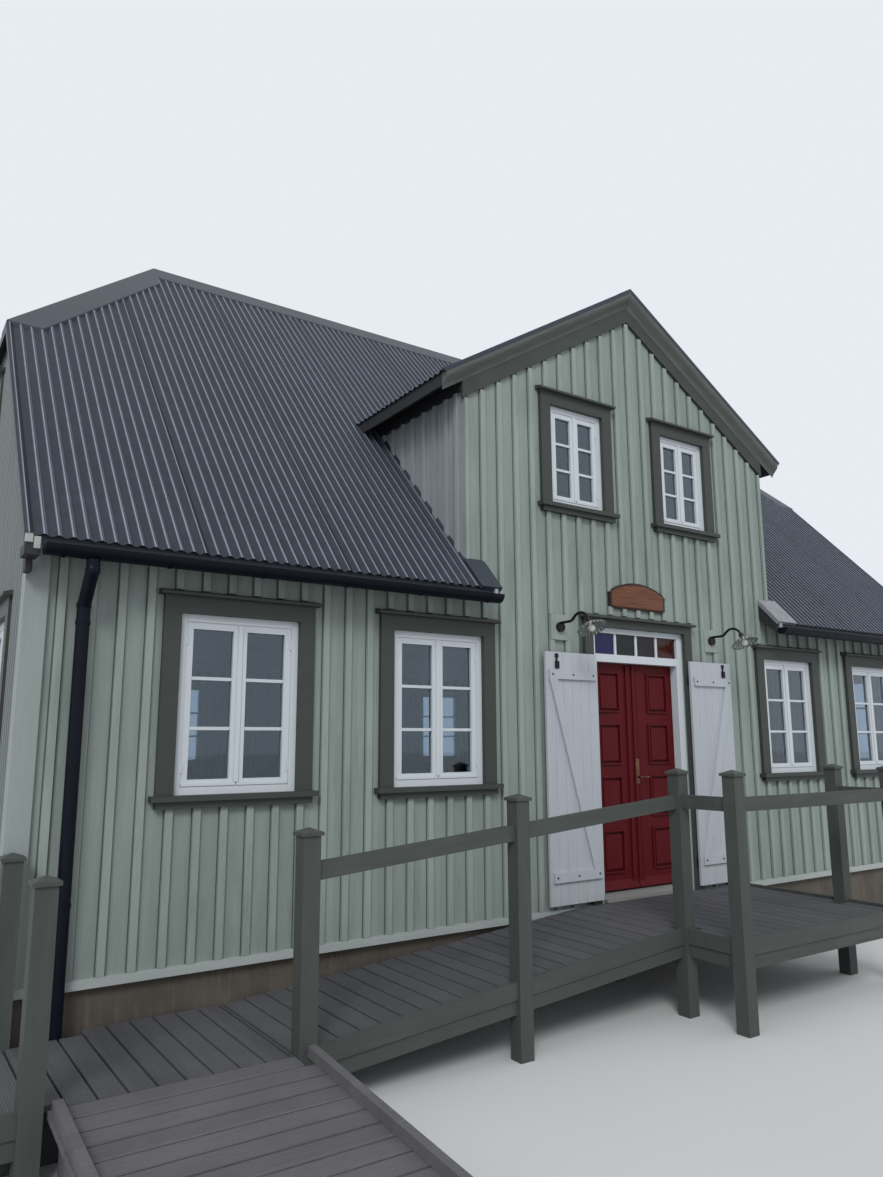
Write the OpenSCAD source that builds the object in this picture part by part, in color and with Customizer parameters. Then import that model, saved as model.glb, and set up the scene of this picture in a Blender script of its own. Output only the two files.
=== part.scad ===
/* [House] */
// Length of the front wall
house_w = 9840; // [9000:10:11000]
// Depth of the house from front wall to back wall
house_d = 6400; // [5800:10:7000]
// Thickness of the outer walls
wall_t = 150; // [140:5:200]
// Height of the plinth, from the ground to the foot of the cladding
plinth_h = 500; // [420:10:700]
// Thickness of the plinth walls
plinth_t = 200; // [190:5:300]
// How far the plinth stands back from the face of the wall
plinth_setback = 20; // [5:1:40]
// Thickness of the ground floor
floor_t = 80; // [50:1:95]
// Height of the attic floor's top over the plinth
attic_floor_h = 2470; // [2400:10:2500]
// Thickness of the attic floor
attic_floor_t = 200; // [120:5:220]

/* [Main roof] */
// Pitch of the long slopes, in degrees
main_pitch = 47.2; // [46:0.1:49]
// Height of the roof's top surface over the plinth at the face of the front wall
roof_rise = 2714; // [2700:1:2800]
// How far the eaves hang out past the long walls
eave_overhang = 215; // [160:5:240]
// How far the roof runs past the end walls
verge_overhang = 80; // [60:5:150]
// Half the width of a half-hip along its lower edge
hip_half = 1540; // [1400:10:1650]
// Length of a half-hip in plan
hip_run = 1460; // [1300:10:1600]
// Thickness of the sheeting and its boarding
sheet_t = 45; // [35:1:60]
// Thickness of the whole roof with its rafters
roof_t = 120; // [100:1:140]

/* [Front gable] */
// Half the width of the front gable
gable_half = 1875; // [1750:5:1950]
// Height of the gable roof's top over the plinth at its ridge
gable_rise = 5500; // [5400:10:5600]
// Pitch of the gable roof, in degrees
gable_pitch = 31.8; // [31:0.1:33]
// How far the gable roof hangs out past its cheeks
gable_eave = 225; // [150:5:260]
// How far the gable roof and its crown moulding hang out past the front wall
gable_verge = 98; // [80:1:120]
// Thickness of the gable roof
gable_roof_t = 90; // [80:1:110]
// Thickness of the gable's cheeks
cheek_t = 100; // [80:5:140]
// How far the main eaves run on past the gable's corners
eave_return = 140; // [60:5:160]
// Depth of the frieze boards under the gable roof
barge_h = 150; // [120:5:170]
// Thickness of the frieze boards under the gable roof
barge_t = 28; // [20:1:40]
// Height of the crown moulding on the gable roof's front edges
crown_h = 124; // [110:1:140]

/* [Windows] */
// Width of a ground floor window frame
window_w = 798; // [700:2:860]
// Height of a ground floor window frame
window_h = 1107; // [1000:1:1110]
// Height of the ground floor window frames over the plinth
window_sill_h = 1020; // [990:5:1025]
// Distance of the outer front windows from the middle of the house
outer_window_x = 3655; // [3620:5:3700]
// Distance of the inner front windows from the middle of the house
inner_window_x = 2125; // [2060:5:2160]
// Width of an upper window frame
upper_w = 610; // [560:2:660]
// Height of an upper window frame
upper_h = 880; // [800:2:900]
// Distance of the upper windows' heads under the gable's ridge
upper_head_drop = 1315; // [1290:5:1340]
// Distance of an upper window from the middle of its gable
upper_window_x = 680; // [660:5:760]
// Distance of a side window from the middle of the end wall
side_window_y = 2150; // [1900:10:2200]
// Width of a window frame's members on the face
frame_face = 45; // [35:1:55]
// Depth of a window frame
frame_depth = 95; // [80:1:120]
// How far window frames stand back from the face of the wall
frame_recess = 5; // [0:1:20]
// Width of a sash's members on the face
sash_face = 45; // [35:1:50]
// Depth of a sash
sash_depth = 50; // [40:1:60]
// Thickness of the glass
glass_t = 6; // [4:1:10]
// Width of the boards round a window
casing_w = 108; // [80:1:115]
// How far the boards round windows and door stand out
casing_t = 35; // [25:1:37]
// How far the head caps and sills stand out
cap_out = 75; // [60:1:95]

/* [Door] */
// Half the width of the door frame
door_frame_half = 572; // [560:1:600]
// Width of the door frame's posts on the face
door_frame_face = 60; // [54:1:75]
// Height of the panes over the doors
transom_pane_h = 182; // [170:1:190]
// Height of the doors' lower edge over the plinth
leaf_sill_h = 110; // [100:1:130]
// Height of the doors' upper edge over the plinth
leaf_top_h = 2015; // [1980:1:2020]
// Thickness of a door leaf
leaf_t = 45; // [38:1:50]
// How far the door frame stands back from the face of the wall
door_frame_recess = 14; // [14:1:20]
// How far the doors stand back from the face of the wall
leaf_recess = 95; // [85:1:97]
// Gap between the two doors, and between a door and its frame
leaf_gap = 8; // [6:1:10]
// How far left of the doorway's middle the two doors meet
meeting_left = 30; // [0:1:40]
// Width of the boards round the door
door_casing_w = 95; // [80:1:100]

/* [Shutters] */
// Width of a door shutter
shutter_w = 558; // [540:1:560]
// How far the shutters reach under the doors' lower edge
shutter_under = 25; // [10:1:28]
// How far the shutters reach over the doors' upper edge
shutter_over = 30; // [10:1:32]
// Thickness of a shutter's boards
shutter_t = 28; // [20:1:30]
// Thickness of the ledges and braces on the shutters
ledge_t = 21; // [15:1:22]
// Width of the ledges
ledge_w = 75; // [60:1:95]
// How far the shutters' hinge line stands in front of the wall
shutter_out = 45; // [43:1:50]

/* [Deck] */
// Height of the platform in front of the door over the plinth
deck_rise = 50; // [30:1:55]
// Depth of the landing under the plinth's top
landing_drop = 200; // [150:5:250]
// Length of the sloping walk
walk_run = 2899; // [2700:1:3000]
// Left edge of the platform in front of the door
platform_left = 801; // [780:1:860]
// Right edge of the platform in front of the door
platform_right = 1101; // [1060:1:1250]
// Depth of the platform in front of the door
platform_d = 1532; // [1450:1:1650]
// Depth of the sloping walk and of the landing
walk_d = 1062; // [1000:1:1200]
// Width of the landing
landing_w = 1900; // [1700:10:2100]
// Width of the lower ramp
ramp_w = 1240; // [1200:5:1300]
// Length of the lower ramp
ramp_run = 3600; // [3200:10:4000]
// Thickness of the deck boards
deck_t = 28; // [22:1:34]
// Side of a post
post_w = 98; // [90:1:110]
// Height of the posts over the deck
post_h = 1050; // [1000:5:1100]
// Height of the rails' top over the deck
rail_h = 910; // [860:5:940]
// Depth of a rail
rail_w = 92; // [80:1:120]
// Thickness of a rail
rail_t = 45; // [36:1:48]
// Depth of the upper edge board
edge_w = 100; // [90:1:120]
// Depth of the lower edge board
lower_edge_w = 85; // [80:1:110]
// Thickness of the edge boards
edge_t = 28; // [22:1:34]
// How far the edge boards stand over the deck
edge_up = 22; // [10:1:40]

/* [Hidden] */

$fn = 32;
far = 20000;              // longer than the whole house, for cutting
half_w = house_w / 2;
half_d = house_d / 2;
front_y = -half_d;        // face of the front wall
wall_in_x = half_w - wall_t;
wall_in_y = half_d - wall_t;
eave_z = plinth_h + roof_rise;
ridge_z = eave_z + half_d * tan(main_pitch);
verge_x = half_w + verge_overhang;
eave_y = half_d + eave_overhang;
ridge_end_x = verge_x - hip_run;
hip_eave_z = ridge_z - hip_half * tan(main_pitch);
hip_pitch = atan((ridge_z - hip_eave_z) / hip_run);
gable_z = plinth_h + gable_rise;
gable_edge = gable_half + gable_eave;
transom_h = 45;           // height of the bars under and over the panes above the doors
door_frame_h = leaf_top_h + leaf_gap + 2 * transom_h + transom_pane_h;
door_top = plinth_h + door_frame_h;
upper_sill_h = gable_rise - upper_head_drop - upper_h;
floor_z = plinth_h + floor_t;
attic_z = plinth_h + attic_floor_h;
deck_z = plinth_h + deck_rise;
landing_z = plinth_h - landing_drop;
walk_left = -platform_left - walk_run;      // where the sloping walk leaves the landing
walk_slope = (deck_z - landing_z) / walk_run;
joint = 0.5;              // half a hairline between two boards that meet
seat_gap = 0.2;           // hairline between a roof and what stands under it or lies on it

// Height of the main roof's top surface at a depth, and of a hip's at a length
function main_top(y) = ridge_z - abs(y) * tan(main_pitch);
function hip_top(x) = ridge_z - (abs(x) - ridge_end_x) * tan(hip_pitch);
function gable_top(x) = gable_z - abs(x) * tan(gable_pitch);
// Vertical thickness of a sloping layer
function upright(t, pitch) = t / cos(pitch);
// Height of the walk's boards at a place along the front
function walk_z(x) = x > -platform_left ? deck_z
    : x < walk_left ? landing_z : landing_z + (x - walk_left) * walk_slope;

// A shape drawn in depth and height, running along the house
module along(x0, x1, points) {
    translate([x0, 0, 0]) rotate([90, 0, 90]) linear_extrude(x1 - x0) polygon(points);
}

// A shape drawn in length and height, running through the house
module through(y0, y1, points) {
    translate([0, y1, 0]) rotate([90, 0, 0]) linear_extrude(y1 - y0) polygon(points);
}

module box(x0, x1, y0, y1, z0, z1) {
    translate([x0, y0, z0]) cube([x1 - x0, y1 - y0, z1 - z0]);
}

module both_sides() {
    children();
    mirror([1, 0, 0]) children();
}

// Plinth and floors

module plinth_long_walls() color("dimgray") {
    for (y = [-1, 1])
        translate([0, y * (half_d - plinth_setback - plinth_t / 2), plinth_h / 2])
            cube([house_w - 2 * plinth_setback, plinth_t, plinth_h], center = true);
    translate([0, 0, plinth_h / 2])
        cube([house_w - 2 * (plinth_setback + plinth_t), plinth_t, plinth_h], center = true);
}

module plinth_end_walls() color("dimgray") both_sides() {
    inner = half_d - plinth_setback - plinth_t;
    box(half_w - plinth_setback - plinth_t, half_w - plinth_setback, -inner, inner, 0, plinth_h);
}

module ground_floor() color("burlywood")
    box(-wall_in_x, wall_in_x, -wall_in_y, wall_in_y, plinth_h, floor_z);

module attic_floor() color("burlywood")
    box(-wall_in_x, wall_in_x, -wall_in_y, wall_in_y, attic_z - attic_floor_t, attic_z);

// Where the windows stand

// Puts its children at the foot of each ground floor window of the front wall's one side
module front_window_places(side)
    for (x = [inner_window_x, outer_window_x])
        translate([side * x, front_y, plinth_h + window_sill_h]) children();

module back_window_places()
    for (x = [-outer_window_x, -inner_window_x, inner_window_x, outer_window_x])
        translate([x, half_d, plinth_h + window_sill_h]) rotate(180) children();

module end_window_places(side)
    for (y = [-side_window_y, side_window_y])
        translate([side * half_w, y, plinth_h + window_sill_h]) rotate(side * 90) children();

module ground_window_places() {
    for (side = [-1, 1]) {
        front_window_places(side) children();
        end_window_places(side) children();
    }
    back_window_places() children();
}

module gable_window_places()
    for (x = [-upper_window_x, upper_window_x])
        translate([x, front_y, plinth_h + upper_sill_h]) children();

module end_upper_window_places(side)
    for (y = [-upper_window_x, upper_window_x])
        translate([side * half_w, y, plinth_h + upper_sill_h]) rotate(side * 90) children();

module upper_window_places() {
    gable_window_places() children();
    for (side = [-1, 1]) end_upper_window_places(side) children();
}

// The hole that a window frame fills, drawn with the wall's face at depth 0
module window_hole(w, h) translate([-w / 2, -wall_t, 0]) cube([w, 3 * wall_t, h]);

// Walls

// A long wall's section: its head is bevelled under the sheeting
function long_wall_section() = [
    [front_y, plinth_h], [front_y + wall_t, plinth_h],
    [front_y + wall_t, main_top(front_y + wall_t) - upright(sheet_t, main_pitch) - seat_gap],
    [front_y, main_top(front_y) - upright(sheet_t, main_pitch) - seat_gap]
];

module front_wall_half(side) difference() {
    union() {
        mirror([side < 0 ? 1 : 0, 0, 0]) {
            along(gable_half, half_w, long_wall_section());
            box(door_frame_half, gable_half, front_y, front_y + wall_t, plinth_h, door_top);
        }
    }
    front_window_places(side) window_hole(window_w, window_h);
}

module front_wall_left() color("darkseagreen") front_wall_half(-1);
module front_wall_right() color("darkseagreen") front_wall_half(1);

// The space under the gable roof, from its one cheek's face to the other's
module gable_space(y0, y1, z0) {
    under = upright(gable_roof_t, gable_pitch) + seat_gap;
    through(y0, y1, [
        [-gable_half, z0], [gable_half, z0], [gable_half, gable_top(gable_half) - under],
        [0, gable_z - under], [-gable_half, gable_top(gable_half) - under]
    ]);
}

module front_gable_wall() color("darkseagreen") difference() {
    gable_space(front_y, front_y + wall_t, door_top);
    gable_window_places() window_hole(upper_w, upper_h);
}

module back_wall() color("darkseagreen") difference() {
    mirror([0, 1, 0]) along(-half_w, half_w, long_wall_section());
    back_window_places() window_hole(window_w, window_h);
}

module end_wall(side) difference() {
    intersection() {
        mirror([side < 0 ? 1 : 0, 0, 0]) along(wall_in_x, half_w, [
            [-wall_in_y, plinth_h], [wall_in_y, plinth_h],
            [wall_in_y, main_top(wall_in_y) - upright(sheet_t, main_pitch) - seat_gap],
            [0, ridge_z - upright(sheet_t, main_pitch) - seat_gap],
            [-wall_in_y, main_top(wall_in_y) - upright(sheet_t, main_pitch) - seat_gap]
        ]);
        hip_underside();
    }
    end_window_places(side) window_hole(window_w, window_h);
    end_upper_window_places(side) window_hole(upper_w, upper_h);
}

// All that lies under the sheeting of the two half-hips
module hip_underside() {
    under = upright(sheet_t, hip_pitch) + seat_gap;
    through(-far, far, [
        [-verge_x, 0], [verge_x, 0], [verge_x, hip_eave_z - under], [ridge_end_x, ridge_z - under],
        [-ridge_end_x, ridge_z - under], [-verge_x, hip_eave_z - under]
    ]);
}

module left_end_wall() color("darkseagreen") end_wall(-1);
module right_end_wall() color("darkseagreen") end_wall(1);

// Where the gable roof's underside comes down on the main roof, as a depth for each length
function valley_y(x) =
    -(ridge_z - gable_top(x) + upright(gable_roof_t, gable_pitch)) / tan(main_pitch);

// The gap in the main roof that the gable stands in, in plan, from a length to the other side
module gable_gap(half, y0)
    linear_extrude(far) polygon([
        [-half, y0], [half, y0], [half, valley_y(half)], [0, valley_y(0)], [-half, valley_y(half)]
    ]);

// A cheek closes the side of the gable from the main roof up
module gable_cheeks() color("darkseagreen") both_sides() intersection() {
    along(gable_half - cheek_t, gable_half, [
        [front_y + wall_t, main_top(front_y + wall_t) - upright(roof_t, main_pitch)],
        [0, ridge_z - upright(roof_t, main_pitch)], [0, gable_z], [front_y + wall_t, gable_z]
    ]);
    gable_space(front_y, 0, 0);
    gable_gap(gable_half, front_y);
}

// Main roof

// A layer of the front slope between two depths under its top, from an eave to the ridge
module slope_layer(x0, x1, edge_y, top_t, foot_t)
    along(x0, x1, [
        [edge_y, main_top(edge_y) - upright(top_t, main_pitch)],
        [0, ridge_z - upright(top_t, main_pitch)],
        [0, ridge_z - upright(foot_t, main_pitch)],
        [edge_y, main_top(edge_y) - upright(foot_t, main_pitch)]
    ]);

// The front slope in plan, with the corners that the half-hips take
module slope_plan()
    linear_extrude(far) polygon([
        [-verge_x, -eave_y], [verge_x, -eave_y], [verge_x, -hip_half],
        [ridge_end_x, 0], [-ridge_end_x, 0], [-verge_x, -hip_half]
    ]);

// Sheeting and boarding out to the edges, with the rafters under them inside the walls
module whole_slope() intersection() {
    union() {
        slope_layer(-verge_x, verge_x, -eave_y, 0, sheet_t);
        slope_layer(-wall_in_x, wall_in_x, -wall_in_y, sheet_t, roof_t);
    }
    slope_plan();
}

// The slope beside the gable: its eave runs on a little past the gable's corner
module roof_front_side(side) intersection() {
    whole_slope();
    mirror([side < 0 ? 1 : 0, 0, 0]) linear_extrude(far) polygon([
        [gable_half, 0], [gable_half, front_y], [gable_half - eave_return, front_y],
        [gable_half - eave_return, -eave_y], [verge_x, -eave_y], [verge_x, 0]
    ]);
}

module roof_front_left() color("slategray") roof_front_side(-1);
module roof_front_right() color("slategray") roof_front_side(1);

// The slope behind the gable, up to the main ridge
module roof_front_top() color("slategray") intersection() {
    whole_slope();
    linear_extrude(far) polygon([
        [-gable_half, valley_y(gable_half)], [0, valley_y(0)], [gable_half, valley_y(gable_half)],
        [gable_half, 0], [-gable_half, 0]
    ]);
}

module roof_back() color("slategray") mirror([0, 1, 0]) whole_slope();

module roof_hips() color("slategray") both_sides() intersection() {
    union() {
        through(-far, far, [
            [ridge_end_x, ridge_z], [verge_x, hip_eave_z],
            [verge_x, hip_eave_z - upright(sheet_t, hip_pitch)],
            [ridge_end_x, ridge_z - upright(sheet_t, hip_pitch)]
        ]);
        through(-far, far, [
            [ridge_end_x, ridge_z - upright(sheet_t, hip_pitch)],
            [wall_in_x, hip_top(wall_in_x) - upright(sheet_t, hip_pitch)],
            [wall_in_x, hip_top(wall_in_x) - upright(roof_t, hip_pitch)],
            [ridge_end_x, ridge_z - upright(roof_t, hip_pitch)]
        ]);
    }
    linear_extrude(far) polygon([[ridge_end_x, 0], [verge_x, -hip_half], [verge_x, hip_half]]);
}

// Gable roof

// All that lies under the main roof's front slope
module under_front_slope()
    along(-verge_x, verge_x, [
        [-eave_y, 0], [0, 0], [0, ridge_z + seat_gap], [-eave_y, main_top(eave_y) + seat_gap]
    ]);

module gable_roof_half() difference() {
    through(front_y - barge_t, -1, [
        [0, gable_z], [gable_edge, gable_top(gable_edge)],
        [gable_edge, gable_top(gable_edge) - upright(gable_roof_t, gable_pitch)],
        [0, gable_z - upright(gable_roof_t, gable_pitch)]
    ]);
    under_front_slope();
}

module gable_roof_left() color("slategray") mirror([1, 0, 0]) gable_roof_half();
module gable_roof_right() color("slategray") gable_roof_half();

// Caps, barge boards and flashings

cap_t = 24;               // height of the caps over the slopes, where they pass over the sheets' waves
ridge_cap_w = 170;        // breadth of a ridge cap on each slope
hip_cap_w = 190;          // breadth of a hip cap on each slope

// A folded cap over the ridge, and caps on both slopes along the lines where the hips meet them
hip_line = atan(hip_half / hip_run);        // the hip line's angle in plan
module hip_cap_strip(y0, y1)
    translate([ridge_end_x, 0, 0]) rotate(hip_line)
        translate([0, y0, 0]) cube([norm([hip_run, hip_half]), y1 - y0, far]);

module ridge_and_hip_caps() color("darkslategray") {
    rise = upright(cap_t, main_pitch);
    top = ridge_z + seat_gap;
    for (back = [0, 1]) mirror([0, back, 0]) along(-ridge_end_x + joint, ridge_end_x - joint, [
        [joint, top], [ridge_cap_w, main_top(ridge_cap_w) + seat_gap],
        [ridge_cap_w, main_top(ridge_cap_w) + seat_gap + rise], [joint, top + rise]
    ]);
    both_sides() for (back = [0, 1]) mirror([0, back, 0]) {
        intersection() {
            along(0, verge_x, [
                [0, top], [eave_y, main_top(eave_y) + seat_gap],
                [eave_y, main_top(eave_y) + seat_gap + rise], [0, top + rise]
            ]);
            hip_cap_strip(joint, hip_cap_w);
            box(ridge_end_x, verge_x, 0, hip_half, 0, far);
        }
        intersection() {
            through(0, eave_y, [
                [ridge_end_x, top], [verge_x, hip_eave_z + seat_gap],
                [verge_x, hip_eave_z + seat_gap + upright(cap_t, hip_pitch)],
                [ridge_end_x, top + upright(cap_t, hip_pitch)]
            ]);
            hip_cap_strip(-hip_cap_w, -joint);
            box(ridge_end_x, verge_x, joint, hip_half, 0, far);
        }
    }
}

module gable_ridge_cap() color("darkslategray") difference() {
    rise = upright(cap_t, gable_pitch);
    wing = gable_top(ridge_cap_w) + seat_gap;
    top = gable_z + seat_gap;
    both_sides() through(front_y - gable_verge, 0, [
        [joint, top], [ridge_cap_w, wing], [ridge_cap_w, wing + rise], [joint, top + rise]
    ]);
    under_front_slope();
}

// The crown moulding's section: out from the wall's face, and down from the roof's top
crown_lip = 22;           // height of its plain upper edge
crown_steps = 8;
cheek_frieze_h = 110;     // depth of the boards along the cheeks
function crown_curve(t) = t - sin(360 * t) / 8;
crown_section = concat(
    [[-barge_t, -crown_h], [-barge_t, 0], [-gable_verge, 0]],
    [for (i = [0:crown_steps - 1])
        [-gable_verge + crown_curve(i / crown_steps) * (gable_verge - barge_t),
            -crown_lip - (crown_h - crown_lip) * i / crown_steps]]
);

// Crown mouldings on the roof's front edges, frieze boards under them on the wall, and
// frieze boards along the cheeks under the eaves
module gable_barge_boards() color("dimgray") {
    under = gable_roof_t + seat_gap;
    cheek_head = gable_top(gable_half + barge_t) - upright(under, gable_pitch);
    both_sides() {
        intersection() {
            translate([0, front_y, gable_z]) rotate([0, gable_pitch, 0])
                along(-gable_half, 2 * gable_half, crown_section);
            box(joint, gable_edge, -far, 0, 0, far);
        }
        through(front_y - barge_t, front_y, [
            [joint, gable_top(joint) - upright(under, gable_pitch)],
            [gable_half + barge_t, gable_top(gable_half + barge_t) - upright(under, gable_pitch)],
            [gable_half + barge_t, gable_top(gable_half + barge_t) - upright(under + barge_h, gable_pitch)],
            [joint, gable_top(joint) - upright(under + barge_h, gable_pitch)]
        ]);
        difference() {
            box(gable_half, gable_half + barge_t, front_y + joint, -1, cheek_head - cheek_frieze_h, cheek_head);
            under_front_slope();
        }
    }
}

// Boards that close the eaves beside the gable, and smooth sheets on the main roof along its cheeks
flash_w = 280;            // breadth of the sheets in front of the gable's face
end_board_h = 110;        // depth of the board at the eave's outer edge
module verge_flashings() color("silver") both_sides() {
    inner = gable_half - eave_return;
    flash_end = valley_y(gable_edge) - upright(cap_t, main_pitch) / tan(main_pitch) - 10;
    along(inner - barge_t, inner, [
        [front_y, main_top(front_y)], [-eave_y, main_top(eave_y)],
        [-eave_y, main_top(eave_y) - end_board_h], [front_y, main_top(front_y) - 1.8 * end_board_h]
    ]);
    intersection() {
        slope_layer(inner - barge_t, inner + flash_w, -eave_y, -cap_t - seat_gap, -seat_gap);
        linear_extrude(far) polygon([
            [inner - barge_t, -eave_y], [inner + flash_w, -eave_y],
            [inner + flash_w, flash_end], [gable_half, flash_end],
            [gable_half, front_y], [inner - barge_t, front_y]
        ]);
    }
}

// Gutters and downpipes

gutter_r = 62;            // outside radius of a gutter
gutter_t = 3;             // thickness of its wall
pipe_r = 38;              // outside radius of a downpipe
gutter_z = eave_z - eave_overhang * tan(main_pitch) - upright(sheet_t, main_pitch);
gutter_y = eave_y + gutter_r - 25;
gutter_end = half_w - 20;
pipe_x = 4640;            // downpipes' distance from the middle of the house
pipe_y = half_d + casing_t + pipe_r + 10;

module gutter(x0, x1) translate([x0, -gutter_y, gutter_z]) rotate([90, 0, 90]) difference() {
    linear_extrude(x1 - x0) circle(gutter_r);
    translate([0, 0, gutter_t]) linear_extrude(x1 - x0 - 2 * gutter_t) circle(gutter_r - gutter_t);
    translate([-far, 0, -1]) cube([2 * far, far, far]);
}

module gutters() color("midnightblue") {
    both_sides() gutter(gable_half - eave_return, gutter_end);
    mirror([0, 1, 0]) gutter(-gutter_end, gutter_end);
}

// A downpipe: an outlet under the gutter, a slanted neck, the pipe down to the ground and its clamps
collar = 4;               // how far a collar stands out round the pipe
clamp_h = 22;             // height of a clamp
outlet_h = 60;            // length of the outlet under the gutter
neck_h = 180;             // height of the slanted neck
low_clamp_z = 450;        // height of the lower clamp over the plinth
clamp_drop = 110;         // distance of the upper clamp under the neck
module downpipe() translate([pipe_x, 0, 0]) {
    neck_top = gutter_z - gutter_r - outlet_h;
    slant = gutter_y - pipe_y;
    translate([0, -gutter_y, neck_top]) cylinder(r = pipe_r, h = gutter_z - gutter_r - neck_top);
    translate([0, -gutter_y, neck_top]) sphere(pipe_r + collar);
    translate([0, -gutter_y, neck_top]) rotate([180 + atan(slant / neck_h), 0, 0])
        cylinder(r = pipe_r, h = norm([slant, neck_h]));
    translate([0, -pipe_y, neck_top - neck_h]) sphere(pipe_r + collar);
    translate([0, -pipe_y, 0]) cylinder(r = pipe_r, h = neck_top - neck_h);
    for (z = [plinth_h + low_clamp_z, neck_top - neck_h - clamp_drop]) {
        translate([0, -pipe_y, z]) cylinder(r = pipe_r + collar, h = clamp_h);
        translate([-12, -pipe_y, z]) cube([24, pipe_y - half_d, clamp_h]);
    }
}

module downpipes() color("midnightblue") {
    both_sides() downpipe();
    mirror([0, 1, 0]) both_sides() downpipe();
}

// Boards at the foot and at the corners of the walls

base_h = 50;              // depth of the base board
base_t = 30;              // how far it stands out
corner_w = 95;            // breadth of a corner board on each face

// In front the board stops on both sides of the door
module base_boards() color("lightgray") {
    both_sides() box(door_frame_half + door_casing_w, half_w + base_t, front_y - base_t, front_y,
        plinth_h, plinth_h + base_h);
    box(-half_w - base_t, half_w + base_t, half_d, half_d + base_t, plinth_h, plinth_h + base_h);
    both_sides() box(half_w, half_w + base_t, front_y + joint, half_d - joint, plinth_h, plinth_h + base_h);
}

module corner_boards() color("lightgray") both_sides() for (back = [0, 1]) mirror([0, back, 0]) {
    foot = plinth_h + base_h;
    head = main_top(half_d) - upright(sheet_t, main_pitch) - seat_gap;
    along(half_w - corner_w, half_w + base_t, [
        [front_y - base_t, foot], [front_y, foot],
        [front_y, head], [front_y - base_t, head - base_t * tan(main_pitch)]
    ]);
    along(half_w, half_w + base_t, [
        [front_y + joint, foot], [front_y + corner_w, foot],
        [front_y + corner_w, head + corner_w * tan(main_pitch)], [front_y + joint, head]
    ]);
}

// Windows, each drawn with the wall's face at depth 0 and the frame's foot at height 0

// A rectangle of two uprights with two rails between them, over one breadth and one depth
module ring(w, h, face, y0, y1) {
    for (side = [-1, 1])
        translate([side * (w - face) / 2, (y0 + y1) / 2, h / 2]) cube([face, y1 - y0, h], center = true);
    for (z = [0, h - face]) box(-w / 2 + face + joint, w / 2 - face - joint, y0, y1, z, z + face);
}

cap_over = 32;            // how far a cap or sill runs past the boards at its side
cap_h = 26;               // thickness of a head cap
sill_h = 34;              // thickness of a sill
apron_h = 42;             // depth of the moulding under a sill

// Boards beside and over a window, a cap on top, a sill and its moulding below
module casing(w, h) {
    half = w / 2;
    out = half + casing_w;
    for (side = [-1, 1])
        translate([side * (half + casing_w / 2), -casing_t / 2, h / 2])
            cube([casing_w, casing_t, h - 2 * joint], center = true);
    box(-out, out, -casing_t, 0, h, h + casing_w);
    through_local(-cap_out, 0, out + cap_over, h + casing_w, cap_h);
    box(-out - cap_over, out + cap_over, -cap_out, 0, -sill_h, 0);
    box(-out, out, -casing_t - 12, 0, -sill_h - apron_h, -sill_h);
}

// A cap whose top slopes outwards to throw off the rain
module through_local(y0, y1, half, z, h)
    translate([-half, 0, 0]) rotate([90, 0, 90]) linear_extrude(2 * half)
        polygon([[y0, z], [y1, z], [y1, z + h + 14], [y0, z + h - 8]]);

module frame(w, h) ring(w, h, frame_face, frame_recess, frame_recess + frame_depth);

// Two sashes that meet in the middle of the frame
module sashes(w, h) {
    leaf_w = w / 2 - frame_face;
    for (side = [-1, 1])
        translate([side * leaf_w / 2, 0, frame_face])
            ring(leaf_w - 2, h - 2 * frame_face, sash_face, frame_recess + 8, frame_recess + 8 + sash_depth);
}

module panes(w, h) {
    leaf_w = w / 2 - frame_face;
    for (side = [-1, 1])
        translate([side * leaf_w / 2, frame_recess + 8 + sash_depth / 2, h / 2])
            cube([leaf_w - 2 - 2 * sash_face, glass_t, h - 2 * (frame_face + sash_face)], center = true);
}

module window_casings() color("dimgray") {
    ground_window_places() casing(window_w, window_h);
    upper_window_places() casing(upper_w, upper_h);
}

module window_frames() color("white") {
    ground_window_places() frame(window_w, window_h);
    upper_window_places() frame(upper_w, upper_h);
}

module window_sashes() color("white") {
    ground_window_places() sashes(window_w, window_h);
    upper_window_places() sashes(upper_w, upper_h);
}

module window_glass() color("lightblue") {
    ground_window_places() panes(window_w, window_h);
    upper_window_places() panes(upper_w, upper_h);
}

// Door frame, drawn with the front wall's face at depth 0 and the plinth's top at height 0

frame_y = door_frame_recess;
panes_in = door_frame_half - door_frame_face;   // half the clear width of the frame
stop_w = 14;              // how far the frame covers the doors' edges
stop_back = leaf_recess - 6;
pane_w = panes_in / 2;    // breadth of one of the four panes over the doors
pane_foot = leaf_top_h + leaf_gap + transom_h;
pane_head = door_frame_h - transom_h;
pane_y = 40;              // depth of the panes
bar_half = 12;            // half the breadth of a bar between them

module at_front() translate([0, front_y, plinth_h]) children();

module door_casing() color("dimgray") at_front() {
    outer = door_frame_half + door_casing_w;
    both_sides() box(door_frame_half, outer, -casing_t, 0, 0, door_frame_h - joint);
    box(-outer, outer, -casing_t, 0, door_frame_h, door_frame_h + 70);
    through_local(-cap_out, 0, outer + cap_over, door_frame_h + 70, cap_h);
}

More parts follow.
